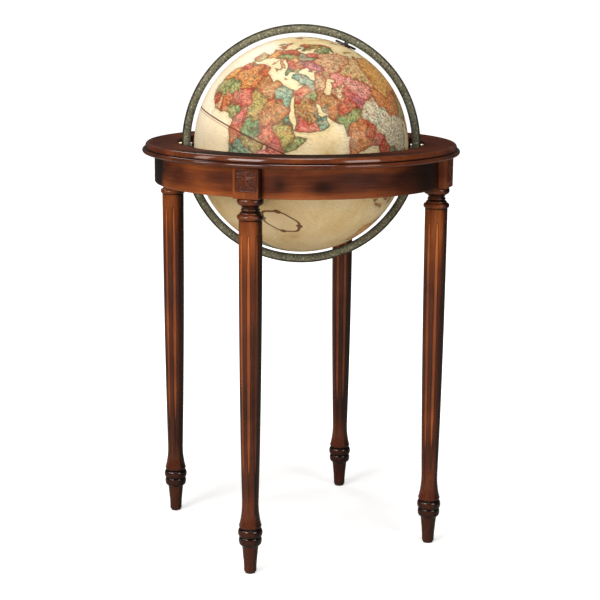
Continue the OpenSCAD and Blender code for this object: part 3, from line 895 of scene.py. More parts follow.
def leg(i, material):
    """A turned and fluted leg, paler at the top of its flutes and dark in its hollows, with a painted
    highlight down each flute and painted shade along the flute edges and on the side turned from the
    lamps.
    """
    outline = leg_outline()
    rings = [leg_ring(r, z) for r, z in outline]
    turn = math.radians(LEG_STOP[i] - 90)
    axis = LEG_AXES[i]
    points, sunk, local = [], [], []
    for (_, z), ring in zip(outline, rings):
        for r, a, depth in ring:
            x, y = r * math.cos(a + turn), r * math.sin(a + turn)
            points.append((axis.x + x * MM, axis.y + y * MM, z * MM))
            local.append((x, y, z))
            sunk.append(depth)
    size = len(rings[0])
    faces = quads(len(rings), size, True) + end_caps(size, len(points))
    piece = mesh_piece(f"leg_{LEGS[i]}_turned", points, faces, material, 28)
    local, sunk = np.array(local), np.array(sunk)
    z = local[:, 2]
    grain = np.stack([z + 610 * i, local[:, 0] + 90 * i, local[:, 1]], 1) * MM
    store(piece, "grain", grain)
    tone_and_painted_light = 0.3 + 0.4 * bell(z, 626, 60) + 0.16 * bell(z, 118, 40) + 0.06 * bell(z, 500, 60)
    hollows = sum(bell(z, at, width) for at, width in LEG_HOLLOWS)
    beads = smooth(653, 658, z) * 0.16 + smooth(53, 58, z) * smooth(91, 86, z) * 0.5
    # painted shade on the side of the leg turned away from the lamps
    shade = smooth(0.3, 0.92, np.cos(np.arctan2(local[:, 1], local[:, 0]) + 0.1))
    # painted shade along the edges of each flute
    lip = bell(sunk, 0.45, 0.35) * (sunk > 0.01)
    # painted highlight: a pale stripe down the floor of each flute
    store(piece, "tone_and_painted_light", tone_and_painted_light + 0.34 * smooth(0.88, 1.0, sunk))
    store(piece, "glaze_and_painted_shade", np.clip(0.7 * hollows + beads + 0.55 * lip + 0.8 * shade, 0, 1))
    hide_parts(f"leg_{LEGS[i]}")
    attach(piece, "stand")


# ---------- meridian ring ----------

def ring_frame(angle):
    """Place on the meridian ring at an angle from the north pole, towards +X."""
    turn = Matrix.Rotation(TILT + angle, 4, "Y")
    return Matrix.Translation(CENTRE) @ turn


def meridian_ring(material):
    """The pewter ring: raised borders, a sunk band and eased edges."""
    r1, r0, t = MERIDIAN_OUT, MERIDIAN_OUT - MERIDIAN_W, MERIDIAN_T
    border, rise, ease = 2.8 * MM, 0.7 * MM, 0.4 * MM
    face = [(r0 + ease, t, 0.3), (r0 + border - 0.3 * MM, t, 0.45), (r0 + border, t - rise, 0.05)]
    band = np.linspace(r0 + border + 0.4 * MM, r1 - border - 0.4 * MM, 9)
    face += [(r, t - rise, 0.56) for r in band]
    face += [(r1 - border, t - rise, 0.05), (r1 - border + 0.3 * MM, t, 0.4), (r1 - ease, t, 0.12)]
    profile = [(r0, t - ease, 0.12)] + face + [(r1, t - ease, 0.12)]
    profile += [(r, -y, h) for r, y, h in reversed(profile)]
    spokes = 720
    points, height = [], []
    for r, y, h in profile:
        for j in range(spokes):
            a = 2 * math.pi * j / spokes
            points.append((CENTRE.x + r * math.sin(a), y, CENTRE.z + r * math.cos(a)))
            height.append(h)
    piece = mesh_piece("meridian_ring_cast", points, hoop(len(profile), spokes), material, 40)
    store(piece, "height", height)
    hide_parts("meridian_ring")
    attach(piece, "meridian")


def bar(place, size):
    """The eight corners of a small bar with a narrower top, moved to its place."""
    x, y, z = (s / 2 for s in size)
    corners = [(-x, -y, 0), (x, -y, 0), (x, y, 0), (-x, y, 0)]
    corners += [(0.7 * cx, 0.7 * cy, 2 * z) for cx, cy, _ in corners]
    return [place @ Vector(c) for c in corners]


BAR_FACES = [(0, 1, 5, 4), (1, 2, 6, 5), (2, 3, 7, 6), (3, 0, 4, 7), (4, 5, 6, 7), (3, 2, 1, 0)]


def numeral(text, size, place):
    """Points and faces of a generic number in the built-in typeface, moved to its place."""
    curve = bpy.data.curves.new("numeral", "FONT")
    curve.body = text
    curve.size = size
    curve.extrude = 0.14 * MM
    curve.align_x, curve.align_y = "CENTER", "CENTER"
    curve.resolution_u = 3
    holder = bpy.data.objects.new("numeral", curve)
    bpy.context.scene.collection.objects.link(holder)
    mesh = bpy.data.meshes.new_from_object(holder)
    points = [place @ v.co for v in mesh.vertices]
    faces = [tuple(face.vertices) for face in mesh.polygons]
    bpy.data.objects.remove(holder)
    bpy.data.meshes.remove(mesh)
    return points, faces


def collect(parts):
    """Joins lists of points and faces into one."""
    points, faces = [], []
    for some_points, some_faces in parts:
        base = len(points)
        points += some_points
        faces += [tuple(base + i for i in face) for face in some_faces]
    return points, faces


def scroll_leaf(place, size):
    """A small three-lobed cast ornament."""
    points, faces = [place @ Vector((0, 0, 0.35 * MM))], []
    count = 18
    for k in range(count):
        a = 2 * math.pi * k / count
        r = size * (0.62 + 0.38 * abs(math.cos(1.5 * a)))
        points.append(place @ Vector((0.75 * r * math.cos(a), r * math.sin(a), 0)))
        faces.append((0, 1 + k, 1 + (k + 1) % count))
    return points, faces


def meridian_marks(material):
    """Ticks every two degrees, numbers every ten and small cast ornaments on both faces."""
    ticks, raised = [], []
    r0, r1 = MERIDIAN_OUT - MERIDIAN_W, MERIDIAN_OUT
    floor = MERIDIAN_T - 0.7 * MM
    for side in (-1, 1):
        face = Matrix.Rotation(math.radians(90 if side < 0 else -90), 4, "X")
        flip = Matrix.Identity(4) if side < 0 else Matrix.Rotation(math.pi, 4, "Z")
        for degree in range(360):
            here = ring_frame(math.radians(degree))
            long = 3.6 if degree % 10 == 0 else 2.4
            tick = Matrix.Translation((0, side * floor, r0 + (2.9 + long / 2) * MM)) @ face
            if degree % 2 == 0:
                ticks.append((bar(here @ tick, (1.4 * MM, long * MM, 0.5 * MM)), BAR_FACES))
            if degree % 10 == 0:
                number = abs(((degree + 90) % 180) - 90)
                spot = Matrix.Translation((0, side * floor, r0 + 9.2 * MM)) @ face @ flip
                raised.append(numeral(str(number), 4.6 * MM, here @ spot))
            elif degree % 5 == 0:
                spot = Matrix.Translation((0, side * floor, r0 + 9.0 * MM)) @ face
                raised.append(scroll_leaf(here @ spot, 2.0 * MM))
            elif degree % 5 in (2, 3):
                spot = Matrix.Translation((0, side * floor, r1 - 4.4 * MM)) @ face
                raised.append(scroll_leaf(here @ spot, 1.0 * MM))
    for name, parts, height in (("meridian_ticks", ticks, 0.02), ("meridian_marks", raised, 0.92)):
        points, faces = collect(parts)
        piece = mesh_piece(name, points, faces, material, 60)
        store(piece, "height", np.full(len(points), height))
        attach(piece, "meridian")


# ---------- hour dial ----------

def dial_rim(material):
    """A finely knurled band round the edge of the hour dial."""
    outer, inner, ease = 20.7, 19.3, 0.5
    ridges, ridge_h = 60, 0.14
    low, high = BALL_R / MM + 0.4, BALL_R / MM + 4.2
    profile = [(inner, low), (outer - ease, low), (outer, low + ease)]
    profile += [(outer, high - ease), (outer - ease, high), (inner + 0.2, high)]
    spokes = 240
    points = []
    for r, z in profile:
        for k in range(spokes):
            a = 2 * math.pi * k / spokes
            wide = r + (ridge_h * math.cos(ridges * a) if r == outer else 0)
            points.append(POLAR @ (Vector((wide * math.cos(a), wide * math.sin(a), z)) * MM))
    piece = mesh_piece("time_dial_rim", points, hoop(len(profile), spokes), material)
    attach(piece, "time_dial")


def dial_marks(material):
    """Hour ticks and numbers on the top of the hour dial."""
    dial_r = 20.5 * MM
    top = BALL_R + 3.0 * MM
    parts = []
    for k in range(48):
        turn = Matrix.Rotation(2 * math.pi * k / 48, 4, "Z")
        long = 2.2 if k % 2 == 0 else 1.1
        place = POLAR @ turn @ Matrix.Translation((0, dial_r - 2.0 * MM - long * MM / 2, top - 0.55 * MM))
        parts.append((bar(place, (0.35 * MM, long * MM, 0.3 * MM)), BAR_FACES))
        if k % 4 == 0:
            hour = (k // 2 + 11) % 12 + 1
            spot = POLAR @ turn @ Matrix.Translation((0, dial_r - 7.2 * MM, top - 0.4 * MM))
            parts.append(numeral(str(hour), 4.2 * MM, spot))
    points, faces = collect(parts)
    piece = mesh_piece("time_dial_marks", points, faces, material, 60)
    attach(piece, "time_dial")


# ---------- the printed map ----------

def outline(text):
    """Longitude and latitude points, in degrees, from a comma-separated list."""
    return np.array([[float(v) for v in pair.split()] for pair in text.split(",")])


LANDS = [outline(text) for text in (
    # Africa
    "-6 35.8, -2 35.1, 3 36.8, 10.2 37.3, 11 35.2, 10.2 34, 15.2 32.3, 19.5 30.3, 20 32.5, 23 32.6,"
    "25 31.6, 29 31, 32.4 31.2, 32.5 29.9, 34 26.5, 35.6 23.9, 37.2 20.8, 37.3 18.8, 39.2 15.8,"
    "41.2 14.5, 43.2 12.3, 43.3 11.4, 44.8 10.4, 51.2 11.9, 50.8 9.3, 48 4.5, 44 1.3, 41.6 -1.8,"
    "39.2 -4.8, 38.8 -6.4, 39.5 -9, 40.6 -10.8, 40.7 -15, 37 -17.8, 34.8 -19.9, 35.5 -22.5,"
    "35.4 -24.2, 32.8 -25.7, 32.6 -28, 30.8 -30.8, 27.5 -33.2, 25.7 -34, 22 -34, 20 -34.8,"
    "18.4 -34.1, 18.2 -31.8, 16.5 -28.6, 15.2 -26.7, 14.5 -22.7, 11.8 -18, 13.4 -13, 13.8 -10.6,"
    "12.3 -6, 11.9 -4.8, 9 -1, 9.4 2, 9.6 3.9, 8.5 4.6, 6 4.3, 4.4 6.3, 1.2 6.1, -2 4.9, -4.5 5.2,"
    "-7.6 4.4, -9.2 5.8, -11.4 6.9, -13.3 8.9, -14.8 10.8, -16.7 12.4, -17.4 14.7, -16.3 16.5,"
    "-16.2 19.5, -17 21, -16 23.7, -14.5 26.2, -13 27.8, -10.2 29.4, -9.8 31.4, -8.5 33.2, -6.8 34.1",
    # Madagascar
    "49.3 -12, 50.4 -15.6, 49.5 -17, 47.2 -24.9, 45.2 -25.6, 43.7 -23.4, 44.4 -20, 44.2 -17, 46.4 -15.7",
    # Europe and Asia
    "-5.6 36, -8.9 37, -9.4 38.7, -8.8 41.5, -9.2 43.1, -3.8 43.4, -1.6 43.4, -1.2 45.8, -2.6 47.4,"
    "-4.7 48.2, -1.5 48.7, -1.6 49.7, 0.2 49.6, 1.6 50.8, 4 51.6, 4.8 53, 7 53.6, 8.6 53.8, 8.2 56,"
    "8.3 57, 10.5 57.7, 10.3 56.3, 9.8 55, 11 54, 14.2 54, 18.4 54.7, 19.8 54.5, 21 55.4, 21.2 57,"
    "22.6 57.6, 24.2 57.1, 23.6 59.1, 28 59.6, 30 59.9, 28 60.6, 23 59.9, 21.4 60.8, 21.4 63,"
    "25.3 65, 24 65.8, 22 65.6, 21.4 64.3, 17.6 62.3, 17.2 60.7, 18.8 59.8, 16.6 58.3, 16 56.2,"
    "14.3 55.5, 12.8 55.5, 11.3 58.8, 10.6 59.3, 8 58, 5.5 58.9, 5 61.5, 8 63.5, 10.8 64.7, 13 66.5,"
    "15.5 68.3, 19.5 70, 25.5 71.1, 31 70.3, 40.8 67.5, 41 66.5, 35 66.7, 32.5 66.8, 37 63.9,"
    "40.5 64.7, 40 65.8, 44 66.2, 43.5 68.5, 46.5 67.8, 54 68.6, 60.5 69.7, 61 68.9, 66.9 68.7,"
    "67.2 70.8, 68.5 73, 72.5 72.8, 72.8 70.3, 73.5 68, 74.5 69.5, 75 72, 80.5 73.5, 86 74.5,"
    "98 76.3, 104.3 77.7, 113.5 75.6, 109 73.6, 113 73.8, 126.5 73.5, 129.3 71, 133 71.6,"
    "139.8 72.4, 149.5 72, 160 69.8, 170.5 69.8, 180 68.9, 190 66.2, 185 64.8, 178 62.6, 170 60,"
    "164 59.9, 163.3 58, 162 56.2, 160 53.2, 156.8 51, 155.7 54, 155.8 57, 160 60.8, 164 62.4,"
    "156.5 61.5, 150 59.6, 142.5 59.3, 135.5 54.8, 141 53, 140.5 50, 139.5 47.2, 135.5 44,"
    "132 43.2, 129.7 41.4, 127.5 39.6, 129.4 37, 129 35.3, 126.4 34.4, 126.5 37.2, 125 39.5,"
    "121.3 38.9, 122 40.5, 118 39, 119 37.3, 122.5 37.2, 119.4 34.8, 121.8 31.6, 121.8 29.3,"
    "119.5 25.5, 116.5 23, 113.5 22.2, 110.4 21.2, 109.8 20.4, 108 21.6, 105.8 19.2, 108.9 15.3,"
    "109.2 11.8, 106.7 10.4, 105 8.7, 104.8 10.4, 102.6 12, 100.9 13.5, 99.9 11.6, 99.3 9.3,"
    "100.6 7, 103.4 4.3, 104.2 1.4, 101.3 2.8, 100.3 6, 98.4 8, 98.7 11.5, 97.6 16.5, 94.4 16,"
    "94 18.8, 91.8 22.4, 89 21.8, 86.9 21.2, 85 19.6, 82.3 16.7, 80.2 15.6, 80.2 13.2, 79.8 10.4,"
    "77.6 8.1, 76.2 10.5, 74.7 13.5, 73.5 16.5, 72.8 19.5, 72.7 21.4, 70.5 20.9, 69 22.4, 67.4 24,"
    "66.5 25.3, 61.6 25.1, 57.2 25.8, 56.4 27, 54 26.6, 51.4 27.9, 50 30.1, 48 29.8, 48.4 28.4,"
    "50.2 26.6, 50.8 25, 51.2 26, 51.6 24.6, 54 24.2, 56.2 26.2, 56.8 24.3, 59.8 22.5, 57.7 19,"
    "55 17, 52.2 15.6, 48.5 14, 45 12.8, 43.4 12.7, 42.7 16, 40.6 19.5, 39.1 21.5, 37.3 24.4,"
    "35.2 28, 34.9 29.5, 34.3 27.8, 32.6 29.9, 32.5 31.2, 34.3 31.3, 35.5 33.8, 35.9 36.2,"
    "32.5 36.1, 30.6 36.8, 27.5 36.8, 26.3 39.4, 29 41.1, 33.3 42, 36 41.6, 38.4 41, 41.5 41.5,"
    "39 44, 37.5 45.4, 39 47.1, 35 46.2, 36.5 45.3, 33.6 44.5, 32.8 46, 30.7 46.4, 28.7 44.3,"
    "27.8 42.3, 28.6 41.3, 26 40.7, 23.8 40.2, 22.8 39.2, 24 37.9, 22.9 36.6, 21.4 37.5, 20 39.6,"
    "19.4 41.8, 15.2 44.1, 13.6 45.1, 12.4 45.3, 12.5 44, 14 42.6, 16 41.8, 18.4 40.1, 16.9 40.4,"
    "16.4 39.6, 17 39, 15.8 38, 15.8 39.8, 12.3 41.8, 10.3 43.3, 8.8 44.4, 6.3 43.2, 3.2 43.2,"
    "3.2 41.9, 0.3 40.4, -0.3 38.8, -2.1 36.8, -4.4 36.7",
    # Islands round Europe and the Arctic
    "-5.5 50.1, 1.3 51.2, 1.7 52.7, 0.2 53, -1.6 55, -2 57.6, -4 57.7, -3.1 58.6, -5 58.6, -6 56.5,"
    "-5 55, -3.3 54.8, -3.2 53.4, -4.6 53.2, -4.5 52, -5 51.8, -3 51.4",
    "-6.2 52.3, -10 51.7, -10 54.2, -7.3 55.3, -5.6 54.5",
    "-22 64, -24 65.5, -22 66.3, -16 66.5, -13.6 65, -18.7 63.4",
    "11 79.3, 20 80.4, 27 80, 21 78.4, 17 76.6, 14 78",
    "51.5 71.5, 55 73.8, 60 76, 68 77, 66 76, 58.5 74, 56 71",
    "95 79.5, 97 81, 105 79, 100 78", "138 75.5, 146 75.7, 150 75, 142 73.5",
    "12.5 38, 15.6 38.2, 15.2 36.7", "8.2 40.8, 9.7 41.1, 9.6 39.2, 8.4 39",
    "8.6 42.4, 9.5 43, 9.4 41.5", "23.6 35.5, 26.2 35.2, 24.5 34.8", "32.4 35.1, 34.5 35.6, 33.2 34.6",
    # Islands of Asia and the Pacific
    "80 9.7, 81.8 7.5, 80.6 6, 79.8 8", "121 25.1, 122 25, 120.9 22, 120.2 23.2",
    "108.7 19.3, 110.5 20, 110.4 18.6",
    "130 33.5, 131 34.3, 136 35.8, 137 37.3, 139.8 38.5, 140.2 40.8, 141.4 41.3, 142 39.5, 140.8 36,"
    "138.5 34.7, 135.5 33.6, 132.3 34, 131.8 32, 130.6 31.2",
    "140.2 42, 141.7 45.4, 145.3 43.6, 143 42", "142.2 46, 142.2 54, 143.3 52, 143 47",
    "95.4 5.6, 98 4.3, 103.7 0, 106 -3, 105.8 -5.8, 104.5 -5.8, 101 -2.5, 98.7 1.7",
    "105.2 -6.7, 108.5 -6.6, 112.6 -6.9, 114.5 -7.8, 114 -8.6, 108 -7.7",
    "109 1.5, 111.3 2.5, 113.5 3.7, 117 7, 119 5.2, 117.6 3, 118.9 1, 117.4 0, 116.4 -3.8,"
    "114.6 -4, 111.6 -3.3, 110 -1.5",
    "119.8 0.8, 125 1.6, 124 0.4, 120.4 0.4, 121.4 -0.9, 123.2 -0.8, 121.8 -1.9, 122.8 -4.5,"
    "121.5 -4.6, 120.9 -2.8, 120.3 -5.5, 119.5 -5.3, 119 -2.8",
    "131 -0.8, 134 -0.8, 135 -3.3, 138 -1.8, 144.5 -3.8, 147.8 -6, 150.8 -10.4, 147 -9.5,"
    "144.5 -7.7, 142.5 -9.3, 138 -8.3, 137.8 -5.4, 133 -4, 132.2 -2.8",
    "120.6 18.5, 122.2 18.4, 121.6 15.8, 124 12.9, 120.6 13.8, 119.9 16",
    "122 7, 123.5 8.6, 125.4 9.8, 126.5 7.5, 125.4 5.7, 124 6.8",
    "172.8 -34.5, 175.5 -37, 178.5 -37.7, 176.8 -39.5, 175.2 -41.6, 174.8 -39, 173.8 -39.3, 174.7 -37.5",
    "172.8 -40.6, 174.2 -41.8, 171 -44.3, 169 -46.6, 166.5 -46, 168.5 -44",
    # Australia and Tasmania
    "113.7 -22.5, 114.2 -26, 115.7 -31.6, 115 -34.2, 118 -35, 123.6 -33.9, 126 -32.3, 131.2 -31.5,"
    "134.2 -32.8, 137.8 -35, 139.7 -36.8, 141 -38.2, 144.5 -38.3, 146.4 -39, 150 -37.4,"
    "151.3 -33.6, 153 -31, 153.5 -28, 153 -25, 149.5 -22, 146.3 -19, 145.4 -15, 142.6 -10.8,"
    "141.6 -13.5, 140.8 -17.5, 139 -17.3, 135.6 -15, 136.9 -12.2, 132.6 -11.4, 130.8 -12.4,"
    "129.5 -15, 126.8 -13.9, 124 -16.3, 122.2 -18, 119 -20, 115.5 -21.4",
    "144.7 -40.8, 148.2 -40.9, 147.8 -43.2, 146 -43.5",
    # North America
    "-168 65.6, -162 66.5, -164 68, -156.6 71.3, -141 69.6, -128 70.5, -115 68.6, -108 68, -97 68,"
    "-94 71.8, -90 69, -85.5 69.7, -82 68, -86 66.5, -94 61.5, -94.5 59, -88 56.6, -82.3 55,"
    "-80.5 51.5, -79 52, -79.5 54.8, -76.6 57.2, -78 60.5, -77.5 62.4, -73.5 62.3, -69.5 61,"
    "-65 59.8, -64.5 60.3, -61 56, -56 52.3, -60 50.2, -66.5 50.2, -69.5 48, -64.5 49, -65 47,"
    "-61.5 45.6, -66 43.5, -67 44.8, -70.5 43.5, -70 41.7, -74 40.5, -75.5 38, -76 35.2, -81 31.8,"
    "-80 26.8, -80.6 25.2, -81.9 26.4, -82.8 29, -84.2 30, -89.5 30.2, -90.3 29.2, -94 29.5,"
    "-97.3 27.5, -97.8 22.5, -96 19, -94.5 18.2, -91.5 18.6, -90.4 21, -87 21.4, -88 18, -88.5 15.8,"
    "-83.3 15, -83.8 11, -81.5 8.9, -79.5 9.5, -77.3 8.5, -80 7.4, -83 8.3, -85.7 10, -87.5 12.9,"
    "-91.5 14, -94.5 16.2, -99 16.7, -103.5 18.4, -105.6 20.5, -105.5 22.6, -109.4 26, -112.8 30,"
    "-114.7 31.7, -113 28.4, -109.5 23, -112.2 24.8, -115 28.5, -117.2 32.8, -120.6 34.6,"
    "-124.2 40.4, -124.6 48.3, -122.8 49, -127.5 51, -130.5 54.6, -134 58, -140 59.7, -146 60.9,"
    "-151.5 59.4, -151 61.2, -154 58.5, -158.5 56, -164.8 54.6, -158 58.5, -162 59, -165 61,"
    "-164.5 63.2, -161 64.5",
    "-73 78.2, -60 82, -33 83.5, -20 81.5, -18.5 77, -22 72.5, -22 70.4, -32 68, -40 65, -43.5 60,"
    "-48 61, -52 65, -53.5 68.5, -54.5 71, -60 75.8",
    "-90 73.5, -81 73.7, -76 72.5, -68 70, -61.5 66.7, -66 62, -72 64, -73 67, -80 70, -89 70.8",
    "-90 77, -91 81, -65 83, -70 81, -77 77", "-117 72, -105 72.5, -103 69, -114 69",
    "-59 47.8, -55.5 51.5, -53 47", "-84.9 21.9, -80 23.1, -74.3 20.2, -77.6 19.9, -82 22.4",
    "-74.4 18.5, -72 19.9, -68.5 18.6, -71.6 17.8",
    # South America
    "-77.3 8.5, -75.5 10.6, -71.6 12.3, -70 12, -64 10.6, -60 8.5, -57 6, -51.8 4.5, -50 0.5,"
    "-48 -0.8, -44 -2.5, -39 -3.3, -35.3 -5.5, -35 -8.5, -38.5 -13, -39.2 -17.5, -41 -22,"
    "-44.5 -23.2, -48.5 -26, -50 -29.5, -53.5 -33.8, -58.2 -34.2, -57 -36.5, -62 -39, -65 -41,"
    "-65.5 -45, -68 -47, -66 -48, -69 -51, -68.4 -52.4, -65.5 -54.8, -70 -55.3, -74.5 -50, -74 -44,"
    "-73.5 -39, -71.5 -32, -70.3 -24, -70.3 -18.3, -76.3 -14, -79 -8, -81.2 -5, -80 -2.5, -80.5 0,"
    "-78.5 2, -77.5 4, -77.8 7",
    # Antarctica
    "-180 -78, -160 -78, -150 -77, -130 -74, -100 -73, -75 -73, -68 -67, -60 -64, -57 -63.3,"
    "-62 -68, -62 -74, -50 -77.5, -35 -78, -20 -73, 0 -70, 20 -70, 40 -69, 55 -66, 70 -68.5,"
    "75 -69.5, 90 -66.5, 110 -66, 135 -66, 150 -68.5, 170 -72, 165 -77.5, 180 -78, 181 -91, -181 -91",
)]
# Seas and lakes inside the land outlines
WATERS = [outline(text) for text in (
    "47.5 45.5, 50 46.6, 53 46.7, 53 45.2, 51 44.5, 50.3 44.3, 52.5 42.7, 52.7 41.5, 53 40,"
    "53.9 37.2, 51 36.7, 49 37.6, 49.3 40.2, 47.6 42.8",
    "58.5 45.5, 61.5 46.5, 60 44, 58.5 43.8", "32 0.3, 34 0, 33.7 -2.3, 32 -2.5",
    "104 51.6, 110 55.6, 108.5 53.5, 105.5 51.7")]

INKS = {
    "honey": (218, 136, 62), "clay": (190, 116, 58), "umber": (170, 120, 56), "reed": (236, 240, 212),
    "amber": (254, 190, 96), "orange": (228, 136, 72), "rust": (212, 98, 54), "red": (214, 80, 62),
    "rose": (224, 104, 108), "pink": (246, 150, 152), "plum": (196, 100, 128), "green": (140, 176, 108),
    "olive": (176, 172, 92), "leaf": (96, 160, 106), "teal": (92, 168, 148), "aqua": (122, 184, 164),
    "slate": (128, 160, 132), "tan": (222, 172, 132), "sand": (232, 196, 136), "cream": (236, 212, 172)}
# Each country's ink and the longitude and latitude of one or more points inside it
COUNTRIES = [(ink, outline(text)) for ink, text in (
    ("red", "-7 32"), ("amber", "-12 24.5"), ("honey", "3 33, 1 30, 5 27, -2 28, 6 24"),
    ("rust", "9.5 34.5"), ("clay", "17 28, 14 30, 21 26, 22 30"), ("aqua", "29 27, 27 30, 32 25"),
    ("green", "-10 20, -13 17.5"), ("green", "-4 20, -1 17.5, -8 14"), ("leaf", "-14.5 14"),
    ("red", "-11 10.5"), ("tan", "-6 7.5"), ("rust", "-1 8.5, -1.5 12.5"),
    ("rose", "9 18, 11 16, 5 15"), ("green", "8 10, 6.5 8"), ("olive", "19 15, 18 19.5, 19 10.5"),
    ("clay", "30 16, 27 12, 33 18, 33 13.5, 28 19.5"), ("leaf", "21 6.5"), ("rose", "12.5 6"),
    ("rust", "11.5 -1, 15 1.5"), ("leaf", "20 1.5, 25 2.5"), ("olive", "22 -3, 27 -1"),
    ("teal", "20 -7, 25 -9"), ("olive", "39 9, 37 11.5, 42 7"), ("teal", "38.5 15.2"),
    ("green", "45 5, 48 9"), ("rose", "38 0.5"), ("red", "32 2.5, 31 7"), ("pink", "34.5 -6"),
    ("teal", "16.5 -12"), ("amber", "27 -14"), ("green", "37 -15, 33.5 -23"), ("tan", "30 -19"),
    ("pink", "24 -22"), ("amber", "17 -22"), ("red", "24 -30, 28 -28"), ("olive", "47 -19"),
    ("umber", "45 24, 42 27, 49 21, 41.5 22.5"), ("rose", "47 15.8, 52 17.5"),
    ("teal", "57 21, 54 23.4"), ("green", "43 33.5"), ("red", "38 35, 36 31.2"),
    ("aqua", "35 39, 30 39, 40 39"), ("clay", "53 33, 57 31, 49 34.5, 60 28.5, 58.5 35.5"),
    ("cream", "59 39.5"), ("rose", "64 41.5"), ("red", "65 34, 68.5 36"), ("green", "66 28, 71 32"),
    ("orange", "77 22, 78 27, 79 15, 83 23, 74 26, 76 12"), ("red", "84 28.4"), ("rose", "90 24"),
    ("red", "96 21, 97 18"), ("olive", "101 15.8"), ("slate", "105 19.5, 107 13"),
    ("rose", "102 4, 113 0, 100 0"), ("amber", "110 -7, 120 -3, 104 -4"),
    ("reed", "90 33, 98 35, 83 40, 103 30, 93 38.5, 84 34, 106 35, 112 31, 115 37, 112 26"),
    ("green", "123 44, 126 48, 120 41"), ("orange", "103 46.5, 95 47.5, 111 46.5"),
    ("pink", "68 48, 61 49, 76 47, 53 48.5"), ("plum", "73 40.5"), ("tan", "45 42"),
    ("amber", "90 62, 105 60, 120 62, 135 62, 110 70, 100 54, 80 68"),
    ("orange", "150 64, 165 65, 130 51"), ("sand", "78 58, 70 62, 60 60, 68 67, 60 56"),
    ("tan", "38 55, 45 52, 50 58, 42 62, 33 60, 52 64, 44 47"), ("plum", "31 49, 36 49"),
    ("slate", "28 53.5"), ("rose", "25.5 57"), ("slate", "19.5 52.3"), ("rust", "25 46"),
    ("olive", "25 42.6"), ("leaf", "22 39"), ("rose", "19.5 44"), ("amber", "19 47.2"),
    ("red", "10 51"), ("leaf", "9.5 56"), ("amber", "2.5 47, 1.5 44.5"),
    ("olive", "-3.5 40.5, -6 42.5, -2 38"), ("red", "-8.3 39.5"), ("sand", "12.5 43, 15 40.5, 10 45"),
    ("green", "13 47.3, 8 47"), ("rust", "9 61, 15 67.3, 24 69.8"), ("olive", "15 60, 18 65"),
    ("leaf", "26.5 63, 27 67"), ("rust", "-1.5 52.5"), ("orange", "-4 57"), ("green", "-8 53"),
    ("rose", "-18 65"), ("sand", "18 79, 60 74"), ("red", "138 36, 132 33, 141 43"),
    ("rose", "127.5 37.5"), ("rose", "121 16, 125 8"), ("green", "136 -4"), ("olive", "145 -6.5"),
    ("amber", "122 -25, 118 -30"), ("orange", "134 -20, 134 -28"), ("red", "144 -22, 148 -25"),
    ("green", "146 -33"), ("rose", "144 -37, 146 -42"), ("pink", "172 -42, 176 -38"),
    ("rose", "-110 58, -120 54, -100 54"), ("sand", "-110 65, -125 65, -95 65"),
    ("amber", "-88 50, -80 48"), ("pink", "-72 50, -73 57, -66 46"), ("orange", "-152 65, -158 60"),
    ("cream", "-40 74, -45 66"), ("rose", "-72 69, -85 72"), ("olive", "-119 44, -117 37"),
    ("green", "-107 44, -105 37"), ("amber", "-97 44, -97 36, -98 31"), ("leaf", "-88 42, -88 34"),
    ("red", "-77 41, -80 34, -72 44"), ("tan", "-102 24, -108 29"), ("rust", "-98 18"),
    ("green", "-87 14"), ("pink", "-84 10, -78 22"),
    ("orange", "-52 -8, -60 -4, -45 -9, -52 -16, -47 -20"), ("rose", "-66 -30, -66 -38, -69 -48"),
    ("green", "-75 -10"), ("amber", "-73 4"), ("red", "-65 7"), ("olive", "-64 -17"),
    ("teal", "-71 -25, -72 -36"), ("tan", "-58 -23"), ("leaf", "-56 -33"), ("pink", "-78 -1.5"),
    ("slate", "-56 4"),
    ("aqua", "0 -80, 90 -76, -120 -80"))]

PRINT_SHIFT = 2.3   # how far the print sits below the true parallels, in degrees at the equator
FACING = 52.0       # the meridian that faces the front at rest, in degrees east
COLUMNS, ROWS = 640, 152


def nearest(outline_points, lon, lat, closed=True):
    """Distance in degrees from each place to an outline."""
    ends = np.roll(outline_points, -1, axis=0) if closed else outline_points[1:]
    best = np.full(len(lon), 30.0)
    for (x0, y0), (x1, y1) in zip(outline_points, ends):
        reach = (np.abs(lat - (y0 + y1) / 2) < 7 + abs(y1 - y0) / 2)
        middle = (x0 + x1) / 2
        turn = (lon[reach] - middle + 180) % 360 - 180
        shrink = np.maximum(0.08, np.cos(np.radians(lat[reach])))
        px, py = turn * shrink, lat[reach] - y0
        ax, bx = (x0 - middle) * shrink, (x1 - middle) * shrink
        dx, dy = bx - ax, y1 - y0
        t = np.clip(((px - ax) * dx + py * dy) / (dx * dx + dy * dy + 1e-9), 0, 1)
        best[reach] = np.minimum(best[reach], np.hypot(px - ax - t * dx, py - t * dy))
    return best


def inside(outline_points, lon, lat):
    """Which places lie inside an outline."""
    middle = (outline_points[:, 0].min() + outline_points[:, 0].max()) / 2
    x = (lon - middle + 180) % 360 - 180 + middle
    hit = np.zeros(len(lon), bool)
    ends = np.roll(outline_points, -1, axis=0)
    for (x0, y0), (x1, y1) in zip(outline_points, ends):
        if y0 == y1:
            continue
        crosses = (lat > min(y0, y1)) & (lat <= max(y0, y1))
        hit ^= crosses & (x < x0 + (lat - y0) * (x1 - x0) / (y1 - y0))
    return hit


def sphere_points(lon, lat):
    """Unit vectors towards places given in degrees."""
    lon, lat = np.radians(lon), np.radians(lat)
    return np.stack([np.cos(lat) * np.cos(lon), np.cos(lat) * np.sin(lon), np.sin(lat)], -1)


